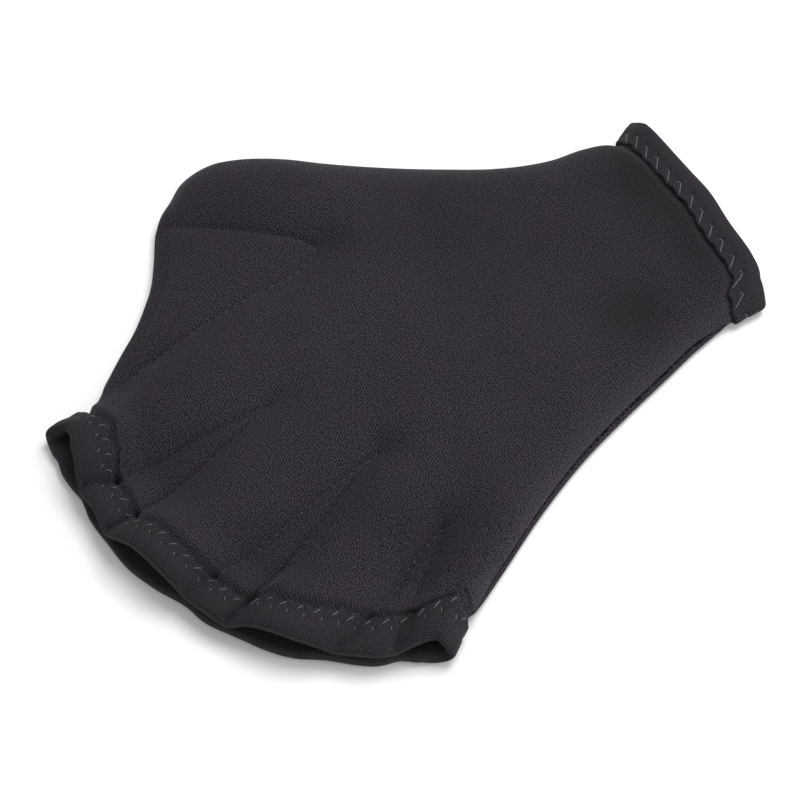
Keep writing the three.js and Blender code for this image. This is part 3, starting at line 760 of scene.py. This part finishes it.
def loop_at(loop, at):
    """The loop's frames at other places along it."""
    found = {"arc": at}
    for name in LOOP_PARTS:
        rows = loop[name]
        place = [[np.interp(at, loop["arc"], rows[r, :, k]) for k in range(3)] for r in range(2)]
        found[name] = np.array(place).transpose(0, 2, 1)
    return found


def tape_points(loop, face, inward, off):
    """Points of a tape, stations x section, from the distance in from the edge and off the face."""
    share = (inward / TAPE_ROW)[..., None]
    edge, back = loop[face][:, :, None]
    plan_edge, plan_back = loop["outer"][:, :, None]
    ways = loop["out" if face == "outer" else "into"][:, :, None]
    run = np.where(share > 0, back - edge, plan_back - plan_edge) * share
    run[..., 2] = ((back - edge) * np.maximum(0, share))[..., 2]
    return edge + run + mix(ways[0], ways[1], ramp(share)) * off[..., None]


# %% Where the zigzag runs
# distances of a tape's two faces from the cloth, and how close its hidden face lies
NEAR = CLEARANCE
FAR = CLEARANCE + TAPE_THICKNESS
SNUG = 0.1
# distances of the two rows of needle holes from the edge
OUTER_NEEDLE = 4.1
INNER_NEEDLE = 7.45
# how far the inner edge is drawn in at each inner needle
SCALLOP = {"cuff": 0.25, "tip": 0.45}


def zigzag_inward(arc, pitch):
    """Distance in from the edge of the zigzag at a place along the loop."""
    swing = np.abs(2 * (arc / pitch % 1) - 1)
    return mix(INNER_NEEDLE, OUTER_NEEDLE, swing)


def scalloped(loop, inward, pitch, depth):
    """The tape's inner edge is drawn in at each inner needle and bellies out between them."""
    near_edge = ramp((inward - INNER_NEEDLE) / (TAPE_ROW - INNER_NEEDLE))
    return inward - depth * near_edge * np.cos(2 * np.pi * loop["arc"][:, None] / pitch)


# %% Relief of a tape: plump fold, zigzag grooves, needle holes and creases
# height of the plump part beside the fold, and how far in its middle is
PLUMP_HEIGHT = 0.5
PLUMP_MIDDLE = 2.0
# depth and half width of the dent under a zigzag leg, then of the needle holes
THREAD_SINK = 0.2
THREAD_DENT = 0.45
HOLE_WIDTH = 0.5
OUTER_HOLE = 0.4
INNER_HOLE = 0.25
# what is always left of the tape over its hidden face
THINNEST = 0.08
# depth of a web's crease at the tape's inner edge, as a share of its depth at the fold
CREASE_AT_INNER_EDGE = 0.55


def tape_relief(loop, inward, pitch):
    """How far the tape's leg rises or sinks from its even thickness."""
    arc = loop["arc"][:, None] + 0 * inward
    upper = ramp(loop["out"][0][:, 2])[:, None]
    relief = PLUMP_HEIGHT * upper * np.exp(-(((inward - PLUMP_MIDDLE) / PLUMP_MIDDLE) ** 2))
    across = (INNER_NEEDLE - OUTER_NEEDLE) * 2 / pitch
    from_leg = np.abs(inward - zigzag_inward(arc, pitch)) / math.hypot(1, across)
    stitched = ramp((inward - OUTER_NEEDLE + HOLE_WIDTH) / HOLE_WIDTH)
    relief = relief - THREAD_SINK * stitched * np.exp(-((from_leg / THREAD_DENT) ** 2))
    for start, needle, hole in ((0.5, OUTER_NEEDLE, OUTER_HOLE), (0.0, INNER_NEEDLE, INNER_HOLE)):
        beside = (arc / pitch + start) % 1 * pitch - pitch / 2
        relief = relief - hole * np.exp(-(beside**2 + (inward - needle) ** 2) / HOLE_WIDTH**2)
    places = tape_points(loop, "outer", inward, np.full_like(inward, FAR))
    for web in webs:
        distance, along = web.nearest(places[..., 0], places[..., 1])
        depth = web.on_arm(web.pinch, along)
        sharp = np.exp(-np.abs(distance) / CREASE_WIDTH)
        nearer_fold = mix(CREASE_AT_INNER_EDGE, 1.0, ramp(1 - inward / TAPE_WIDTH))
        relief = relief - upper * depth * nearer_fold * sharp
    lowest = SNUG + THINNEST - FAR - crease_sink(places[..., 0], places[..., 1])
    return np.where(inward > 0, np.maximum(relief, lowest), relief)


# %% The two tapes
LEG_STEPS = 24
FOLD_STEPS = 6
INNER_POINTS = 9
# the tape's inner edge: its foot on the cloth, how far it swells out, its shoulder and its rounding
EDGE_FOOT = 0.3
EDGE_SWELL = 0.1
EDGE_SHOULDER = 0.55
EDGE_ROUNDING = 0.25
# share of the relief that the fold keeps as it turns down
FOLD_KEEPS = 0.35


def ring_faces(count, wide):
    """Four-sided faces of a section swept round a loop, closed both ways."""
    r, c = np.meshgrid(np.arange(count), np.arange(wide), indexing="ij")
    r_next, c_next = (r + 1) % count, (c + 1) % wide
    corners = [r * wide + c, r_next * wide + c, r_next * wide + c_next, r * wide + c_next]
    return np.stack([corner.ravel() for corner in corners], axis=1)


def make_tape(end, name):
    loop, length = tape_loop(end)
    pitch = length / round(length / ZIGZAG_PITCH[end])
    count = len(loop["arc"])
    fold = np.linspace(0, np.pi / 2, FOLD_STEPS + 1)
    leg = np.linspace(TAPE_ROW, 0, LEG_STEPS + 1)
    lip = [(TAPE_ROW, SNUG + EDGE_FOOT), (TAPE_ROW + EDGE_SWELL, NEAR + EDGE_SHOULDER)]
    top = lip + [(inward, FAR - EDGE_ROUNDING * (i == 0)) for i, inward in enumerate(leg)]
    turn = [(-FAR * math.sin(a), FAR * math.cos(a)) for a in fold[1:]]
    outer = [(*place, True) for place in top] + [(*place, False) for place in turn]
    inner = [(*place, False) for place in turn[::-1]]
    inner += [(inward, FAR, False) for inward in np.linspace(0, TAPE_ROW, INNER_POINTS)]
    hidden = [(TAPE_ROW, SNUG), (TAPE_ROW / 2, SNUG), (0.0, SNUG), (-SNUG, 0.0)]
    section = [("outer", outer), ("inner", inner + [(*place, False) for place in hidden])]
    section.append(("outer", [(*place, False) for place in hidden[::-1]]))
    columns = []
    for face, places in section:
        inward = np.array([[place[0] for place in places]] * count)
        off = np.array([[place[1] for place in places]] * count)
        if places is outer:
            lifted = tape_relief(loop, inward, pitch)
            share = np.clip(1 + inward / FAR, FOLD_KEEPS, 1)
            off = np.where(off > NEAR + EDGE_FOOT, off + lifted * share, off)
            off = np.where(inward > 0, off, np.maximum(off, 0))
            inward = scalloped(loop, inward, pitch, SCALLOP[end])
        columns.append(tape_points(loop, face, inward, off))
    points = np.concatenate(columns, axis=1)
    points[..., 2] = np.maximum(points[..., 2], 0)
    faces = ring_faces(count, points.shape[1])
    if end == "tip":
        faces = faces[:, ::-1]
    made = make_object(name, points.reshape(-1, 3), faces.tolist())
    closed = np.concatenate([points, points[:, :1]], axis=1)
    around = np.concatenate([[0], np.cumsum(np.linalg.norm(np.diff(closed[0], axis=0), axis=1))[:-1]])
    flat = np.stack([loop["arc"][:, None] + 0 * around, around + 0 * loop["arc"][:, None]], axis=2)
    add_flat_pattern(made, flat.reshape(-1, 2))
    print(name, "is", round(length), "mm round, with", 2 * len(faces), "triangles")
    return made, loop, pitch


cuff_tape, cuff_loop, cuff_pitch = make_tape("cuff", "cuff_binding_tape")
tip_tape, tip_loop, tip_pitch = make_tape("tip", "fingertip_binding_tape")

# %% [markdown]
# ## Threads
# Thread is a round tube that follows the cloth and dives into the needle holes. On the tapes only a part of
# each zigzag leg shows, because the rest is pulled into the weave. On the webs the places come from rays
# cast onto the cloth, since its grooves and puckers have no simple formula there. Stitches of one kind are
# joined into one mesh made from arrays, which is far quicker than hundreds of curves.

# %% Thread tubes
THREAD_RADIUS = 0.16
THREAD_SIDES = 7


def tube_faces(start, count):
    """Faces of one capped tube of rings, the first of which begins at the point start."""
    faces = []
    for ring in range(start, start + (count - 1) * THREAD_SIDES, THREAD_SIDES):
        for k in range(THREAD_SIDES):
            a, b = ring + k, ring + (k + 1) % THREAD_SIDES
            faces.append((a, a + THREAD_SIDES, b + THREAD_SIDES, b))
    last = start + (count - 1) * THREAD_SIDES
    faces.append(tuple(range(start, start + THREAD_SIDES)))
    faces.append(tuple(range(last + THREAD_SIDES - 1, last - 1, -1)))
    return faces


def thread_mesh(name, paths, radius=THREAD_RADIUS):
    """One mesh of capped tubes along paths, each an array of points."""
    points = []
    faces = []
    ring = np.arange(THREAD_SIDES) * 2 * np.pi / THREAD_SIDES
    for path in paths:
        start = sum(len(block) for block in points)
        along = np.gradient(path, axis=0)
        along = along / np.linalg.norm(along, axis=1)[:, None]
        side = np.cross(along, (0, 0, 1.0))
        side = side / np.linalg.norm(side, axis=1)[:, None]
        up = np.cross(side, along)
        circle = np.cos(ring)[None, :, None] * side[:, None] + np.sin(ring)[None, :, None] * up[:, None]
        points.append((path[:, None] + radius * circle).reshape(-1, 3))
        faces += tube_faces(start, len(path))
    made = make_object(name, np.vstack(points), faces)
    print(name, "has", len(paths), "stitches and", len(made.data.polygons), "faces")
    return made


# %% Zigzag rows on both tapes
LEG_POINTS = 17
# share of a leg over which it rises or dives, and how deep its hidden part runs
LEG_RISE = 0.12
LEG_BURIED = 0.4
# no two legs are alike: how much the visible length and the height differ
UNEVEN_LENGTH = 0.08
UNEVEN_HEIGHT = 0.06


def zigzag_paths(loop, pitch, shown):
    """One path for each leg, which shows above the cloth between two shares of its length."""
    length = pitch * round(loop["arc"][-1] / pitch)
    whole = {name: np.concatenate([loop[name], loop[name][:, :1]], axis=1) for name in LOOP_PARTS}
    whole["arc"] = np.append(loop["arc"], length)
    paths = []
    t = np.linspace(0, 1, LEG_POINTS)
    for leg in range(2 * round(length / pitch)):
        arc = (leg + t) * pitch / 2
        rise, dive, height = shown[leg % 2]
        uneven = math.sin(leg * 2.4) * math.sin(leg * 0.73 + 1)
        dive = dive + UNEVEN_LENGTH * uneven
        height = height + UNEVEN_HEIGHT * uneven
        place = loop_at(whole, arc % length)
        place["arc"] = arc
        inward = zigzag_inward(arc, pitch)[:, None]
        relief = tape_relief(place, inward, pitch)
        bow = ease((t - rise) / LEG_RISE + 0.5) * ease((dive - t) / LEG_RISE + 0.5)
        lift = mix(-LEG_BURIED, height, bow)[:, None]
        path = tape_points(place, "outer", inward, FAR + relief + lift)[:, 0]
        path[:, 2] = np.maximum(path[:, 2], THREAD_RADIUS)
        paths.append(path)
    return paths


# for a leg that runs in and one that runs out: where it rises, where it dives, height in millimetres
CUFF_LEGS = ((0.04, 0.28, 0.0), (0.05, 0.95, 0.06))
TIP_LEGS = ((0.04, 0.34, 0.05), (0.06, 0.42, 0.14))
cuff_zigzag = thread_mesh("cuff_zigzag_thread", zigzag_paths(cuff_loop, cuff_pitch, CUFF_LEGS))
tip_zigzag = thread_mesh("fingertip_zigzag_thread", zigzag_paths(tip_loop, tip_pitch, TIP_LEGS))

# %% Straight stitches along the webs
STITCH_POINTS = 8
STITCH_GAP = 0.7
WEB_THREAD = 0.13
# a stitch's middle over the cloth where it is sunk, hardly proud and fully proud, and its ends
SUNK_BELOW = 0.2
SUNK_TOP = -0.04
FLAT_TOP = -0.2
PROUD_TOP = 0.14
STITCH_ENDS = -0.35
STITCH_ARCH = 0.7
RAY_START = 0.05


def surface_finder(made):
    bpy.context.view_layer.update()
    return BVHTree.FromObject(made, bpy.context.evaluated_depsgraph_get())


def web_paths(sheet, tape, above):
    """Stitches laid in the grooves on one side of the glove, by casting rays down or up onto the cloth."""
    cloth, bound = surface_finder(sheet), surface_finder(tape)
    way = Vector((0, 0, -1 if above else 1))
    high = RAY_START if above else -RAY_START
    paths = {"pale": [], "sunk": []}
    for web in webs:
        for k in range(int(web.arc[-1] / STITCH_LENGTH)):
            t = np.linspace(0, 1, STITCH_POINTS)
            arc = k * STITCH_LENGTH + mix(STITCH_GAP / 2, STITCH_LENGTH - STITCH_GAP / 2, t)
            x = np.interp(arc, web.arc, web.line[:, 0])
            y = np.interp(arc, web.arc, web.line[:, 1])
            proud = web.on_arm(web.proud, arc)
            kind = "sunk" if proud[0] < SUNK_BELOW else "pale"
            top = SUNK_TOP if kind == "sunk" else mix(FLAT_TOP, PROUD_TOP, proud)
            lift = mix(STITCH_ENDS, top, np.sin(np.pi * t) ** STITCH_ARCH)
            path = []
            for i in range(STITCH_POINTS):
                start = Vector((x[i] * MM, y[i] * MM, high))
                hit = cloth.ray_cast(start, way)[0]
                cover = bound.ray_cast(start, way)[0]
                if hit is None or (cover is not None and (cover - start).length < (hit - start).length):
                    break
                z = hit.z / MM + (lift[i] if above else -lift[i])
                path.append((x[i], y[i], max(z, WEB_THREAD)))
            if len(path) == STITCH_POINTS:
                paths[kind].append(np.array(path))
    return paths


over = web_paths(upper_sheet, tip_tape, True)
under = web_paths(lower_sheet, tip_tape, False)
web_thread = thread_mesh("web_stitching_upper", over["pale"], WEB_THREAD)
# stitches sunk in their grooves get a thread coloured in painted shade
web_thread_sunk = thread_mesh("web_stitching_upper_sunk", over["sunk"], WEB_THREAD)
web_thread_under = thread_mesh("web_stitching_under", under["pale"] + under["sunk"], WEB_THREAD)

# %% [markdown]
# ## Materials
# The jersey of the sheets is a fine polyester knit in charcoal melange. Its fibres stand every way, so it is
# dull, with a soft sheen only where it turns away. Its dye leans in patches from grey to violet, and its tone
# drifts paler or darker in soft random patches. On the sheets the colour also carries painted light and
# painted shade, and the inner face is painted near black as the shade inside the glove. The tape is a
# smoother, flatter nylon. The thread is a paler grey polyester with a silky glint. A picture of cloth would
# be quicker, but its loops would be stretched at the rolled edges, so each pattern is made from waves and
# noise, scaled in millimetres.

# %% Material helpers
def linear(hex_colour):
    """An sRGB colour such as #36343a as the linear values that Blender's sockets take."""
    parts = [int(hex_colour[i : i + 2], 16) / 255 for i in (1, 3, 5)]
    curved = [c / 12.92 if c <= 0.04045 else ((c + 0.055) / 1.055) ** 2.4 for c in parts]
    return (*curved, 1.0)


def add_node(material, kind, inputs=None, **settings):
    """Adds one node. An input is a value, or a pair of another node and the name of its output."""
    node = material.node_tree.nodes.new("ShaderNode" + kind)
    for name, value in settings.items():
        setattr(node, name, value)
    for name, value in (inputs or {}).items():
        socket = node.inputs[name]
        if isinstance(value, tuple) and isinstance(value[0], bpy.types.Node):
            material.node_tree.links.new(value[0].outputs[value[1]], socket)
        else:
            socket.default_value = value
    return node


def new_material(name):
    material = bpy.data.materials.new(name)
    material.use_nodes = True
    material.node_tree.nodes.clear()
    return material


def finish_material(material, shader):
    output = add_node(material, "OutputMaterial", {"Surface": (shader, "BSDF")})
    output.target = "ALL"


def band_scale(period):
    """Wave Texture scale for bands of a period in the units of its coordinates."""
    return 2 * math.pi / (20 * period)


# %% Loops and dye of a knitted face
# The real jersey has a wale about every 0.4 mm, little more than one pixel of the picture, so it is drawn
# about twice as coarse as it is, to show.
WALE_SPACING = 0.74
COURSE_SPACING = 0.75
# the knit lies a little askew on the glove, as it was cut
WALE_TURN = math.atan2(0.966, 0.26)
COURSE_TURN = math.atan2(0.416, 0.91)
LOOP_JITTER = 2.5
LOOP_HEIGHT = 0.12
# grains of fibre, patches of dye and patches of a stroked nap to a millimetre
FIBRE_GRAIN = 2.6
DYE_PATCH = 0.11
STROKED_PATCH = 0.03


def knitted_height(material, flat, wale, course, grain):
    """Height of the loops and the fuzz on them, from 0 between the loops to 1 on top of them."""
    waves = []
    for turn, spacing in ((WALE_TURN, wale), (COURSE_TURN, course)):
        across = add_node(material, "Mapping", {"Vector": (flat, "UV"), "Rotation": (0, 0, -turn)})
        waves.append(add_node(
            material,
            "TexWave",
            {"Vector": (across, "Vector"), "Scale": band_scale(spacing), "Distortion": LOOP_JITTER,
             "Detail": 1.0, "Detail Scale": 1.0, "Detail Roughness": 0.5},
            wave_type="BANDS",
            bands_direction="X",
        ))
    fibre = add_node(
        material, "TexNoise", {"Vector": (flat, "UV"), "Scale": FIBRE_GRAIN, "Detail": 0.0}
    )
    loops = add_node(
        material, "Math", {0: (waves[0], "Fac"), 1: (waves[1], "Fac")}, operation="ADD"
    )
    fuzz = add_node(
        material, "Math", {0: (fibre, "Fac"), 1: grain, 2: -grain / 2}, operation="MULTIPLY_ADD"
    )
    height = add_node(
        material, "Math", {0: (loops, "Value"), 1: 0.5, 2: (fuzz, "Value")}, operation="MULTIPLY_ADD"
    )
    return add_node(
        material, "MapRange", {"Value": (height, "Value"), "From Min": 0.04, "From Max": 1.06}
    )


def melange(material, flat, tone, dark, light, blush):
    """Dark between the loops, and on top of them a colour that drifts from light to blush."""
    cast = add_node(material, "TexNoise", {"Vector": (flat, "UV"), "Scale": DYE_PATCH, "Detail": 1.0})
    uneven = add_node(
        material, "MapRange", {"Value": (cast, "Fac"), "From Min": 0.36, "From Max": 0.64}
    )
    dyed = add_node(
        material,
        "Mix",
        {"Factor": (uneven, "Result"), "A": linear(light), "B": linear(blush)},
        data_type="RGBA",
    )
    return add_node(
        material,
        "Mix",
        {"Factor": (tone, "Result"), "A": linear(dark), "B": (dyed, "Result")},
        data_type="RGBA",
    )


# %% Neoprene with a knitted jersey face
def knit_jersey(name, dark, light, blush, wale, course, grain, sheen, bump, with_painted_light_and_shade=True):
    material = new_material(name)
    flat = add_node(material, "UVMap", uv_map="flat_pattern")
    tone = knitted_height(material, flat, wale, course, grain)
    colour = melange(material, flat, tone, dark, light, blush)
    shade = add_node(
        material, "TexNoise",
        {"Vector": (flat, "UV"), "Scale": STROKED_PATCH, "Detail": 2.0, "Roughness": 0.5},
    )
    patch = add_node(
        material, "MapRange",
        {"Value": (shade, "Fac"), "From Min": 0.3, "From Max": 0.7, "To Min": 0.94, "To Max": 1.06},
    )
    # painted light and shade: the sheets' colour is multiplied by the per-vertex factor that holds them
    if with_painted_light_and_shade:
        painted_light_and_shade = add_node(material, "Attribute", attribute_name="painted_light_and_shade")
        patch = add_node(material, "Math", {0: (patch, "Result"), 1: (painted_light_and_shade, "Fac")}, operation="MULTIPLY")
    value = (patch, "Value" if with_painted_light_and_shade else "Result")
    final = add_node(material, "HueSaturation", {"Color": (colour, "Result"), "Value": value})
    rough = add_node(
        material, "MapRange", {"Value": (tone, "Result"), "To Min": 0.96, "To Max": 0.82}
    )
    relief = add_node(
        material, "Bump", {"Height": (tone, "Result"), "Strength": bump, "Distance": LOOP_HEIGHT * MM}
    )
    shader = add_node(
        material,
        "BsdfPrincipled",
        {"Base Color": (final, "Color"), "Roughness": (rough, "Result"), "Normal": (relief, "Normal"),
         "IOR": 1.46, "Specular IOR Level": 0.25, "Sheen Weight": sheen, "Sheen Roughness": 0.45,
         "Sheen Tint": linear("#b9b2c4")},
    )
    finish_material(material, shader)
    return material


# the soft dark grey of the whole glove, speckled with black between the loops
charcoal_jersey = knit_jersey(
    "charcoal_knitted_jersey_on_foam_rubber", dark="#020203", light="#343239", blush="#38313a",
    wale=WALE_SPACING, course=COURSE_SPACING, grain=3.0, sheen=0.1, bump=0.8,
)
# painted shade: the inner face is coloured near black, so the mouths of the fingers and of the cuff look deep
# and dark
inner_jersey = knit_jersey(
    "inner_jersey_in_painted_shade", dark="#020202", light="#121113", blush="#121113",
    wale=WALE_SPACING, course=COURSE_SPACING, grain=2.0, sheen=0.0, bump=0.4,
)

# %% Binding tape
# a closer weave with less black in it, so the bands look smoother than the jersey beside them
nylon_tape = knit_jersey(
    "charcoal_nylon_binding_tape", dark="#0c0b0d", light="#2f2d34", blush="#332d34",
    wale=0.5, course=0.55, grain=2.0, sheen=0.03, bump=0.5, with_painted_light_and_shade=False,
)

# %% Sewing thread
# noise cells of the twist to a metre of thread
TWIST_CELLS = 2600.0


def spun_thread(name, dark, light):
    material = new_material(name)
    place = add_node(material, "TexCoord")
    twist = add_node(
        material, "TexNoise", {"Vector": (place, "Object"), "Scale": TWIST_CELLS, "Detail": 1.0}
    )
    colour = add_node(
        material, "Mix", {"Factor": (twist, "Fac"), "A": linear(dark), "B": linear(light)},
        data_type="RGBA",
    )
    relief = add_node(
        material, "Bump", {"Height": (twist, "Fac"), "Strength": 0.4, "Distance": 0.05 * MM}
    )
    shader = add_node(
        material,
        "BsdfPrincipled",
        {"Base Color": (colour, "Result"), "Roughness": 0.45, "Normal": (relief, "Normal"), "IOR": 1.5,
         "Sheen Weight": 0.3, "Sheen Roughness": 0.4},
    )
    finish_material(material, shader)
    return material


# the zigzags stand out pale from the tape, the web stitches only just from the jersey
pale_thread = spun_thread("grey_polyester_sewing_thread", "#343238", "#5d5a62")
dark_thread = spun_thread("charcoal_polyester_sewing_thread", "#1c1b1f", "#454249")
# painted shade: a stitch pulled into the cloth lies in its own shade, so its thread is coloured nearly black
thread_in_painted_shade = spun_thread("sewing_thread_in_painted_shade", "#020202", "#0a090b")

# %% Who wears what
for made, material in (
    (upper_sheet, charcoal_jersey),
    (lower_sheet, charcoal_jersey),
    (cuff_tape, nylon_tape),
    (tip_tape, nylon_tape),
    (cuff_zigzag, pale_thread),
    (tip_zigzag, pale_thread),
    (web_thread, dark_thread),
    (web_thread_sunk, thread_in_painted_shade),
    (web_thread_under, dark_thread),
):
    made.data.materials.append(material)
# the inner faces take the near-black jersey, which is painted shade
for made in (upper_sheet, lower_sheet):
    made.data.materials.append(inner_jersey)

# %% [markdown]
# ## What each piece is in the frame
# Nothing moves on its own, so every piece rides on the one body. The sheets and tapes stand in for their
# solids, which are hidden.

# %% Rides, and the hidden solids
threads = (cuff_zigzag, tip_zigzag, web_thread, web_thread_sunk, web_thread_under)
for made in (upper_sheet, lower_sheet, cuff_tape, tip_tape, *threads):
    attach(made, "root")
for made, node in (
    (upper_sheet, "upper_panel"),
    (lower_sheet, "lower_panel"),
    (cuff_tape, "cuff_binding"),
    (tip_tape, "fingertip_binding"),
):
    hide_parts(node)

# %% [markdown]
# ## Floor, light and camera
# The floor is plain white. A bright even sky and a large soft lamp leave almost no shadow, as in a
# catalogue picture, and a low lamp on the little-finger side lights the rolled edge. The lens is long, so
# the near fingers look hardly larger than the thumb.

# %% Floor
# a hair under the glove, so that no two faces share one plane
bpy.ops.mesh.primitive_plane_add(size=6, location=(0, 0, -0.0002))
floor = bpy.context.object
floor.name = "studio_floor"
paper = new_material("white_paper")
finish_material(
    paper, add_node(paper, "BsdfPrincipled", {"Base Color": (0.9, 0.9, 0.9, 1.0), "Roughness": 1.0})
)
floor.data.materials.append(paper)

# %% Sky and lamps
world = bpy.data.worlds.new("studio_sky")
bpy.context.scene.world = world
world.use_nodes = True
world.node_tree.nodes["Background"].inputs["Color"].default_value = (1.0, 1.0, 1.0, 1.0)
world.node_tree.nodes["Background"].inputs["Strength"].default_value = 0.6


def soft_lamp(name, place, size, power):
    lamp = bpy.data.lights.new(name, "AREA")
    lamp.shape = "DISK"
    lamp.size = size
    lamp.energy = power
    made = bpy.data.objects.new(name, lamp)
    made.location = place
    made.rotation_euler = Vector(place).to_track_quat("Z", "Y").to_euler()
    bpy.context.collection.objects.link(made)


soft_lamp("overhead_lamp", (0.1, -0.6, 1.2), 0.8, 14)
soft_lamp("side_lamp", (-0.9, -0.7, 0.4), 0.5, 6)
bpy.context.scene.view_settings.view_transform = "Standard"

# %% Camera
# found by laying the render's outline over the picture's
CAMERA_AZIMUTH = math.radians(228.4)
CAMERA_ELEVATION = math.radians(60)
CAMERA_DISTANCE = 0.6498
AIM = Vector((-0.0144, 0.01324, 0))
lens = bpy.data.cameras.new("studio_camera")
lens.lens = 100
lens.sensor_width = 36
camera = bpy.data.objects.new("studio_camera", lens)
bpy.context.collection.objects.link(camera)
away = Vector((
    math.sin(CAMERA_AZIMUTH) * math.cos(CAMERA_ELEVATION),
    -math.cos(CAMERA_AZIMUTH) * math.cos(CAMERA_ELEVATION),
    math.sin(CAMERA_ELEVATION),
))
camera.location = AIM + away * CAMERA_DISTANCE
camera.rotation_euler = away.to_track_quat("Z", "Y").to_euler()
bpy.context.scene.camera = camera
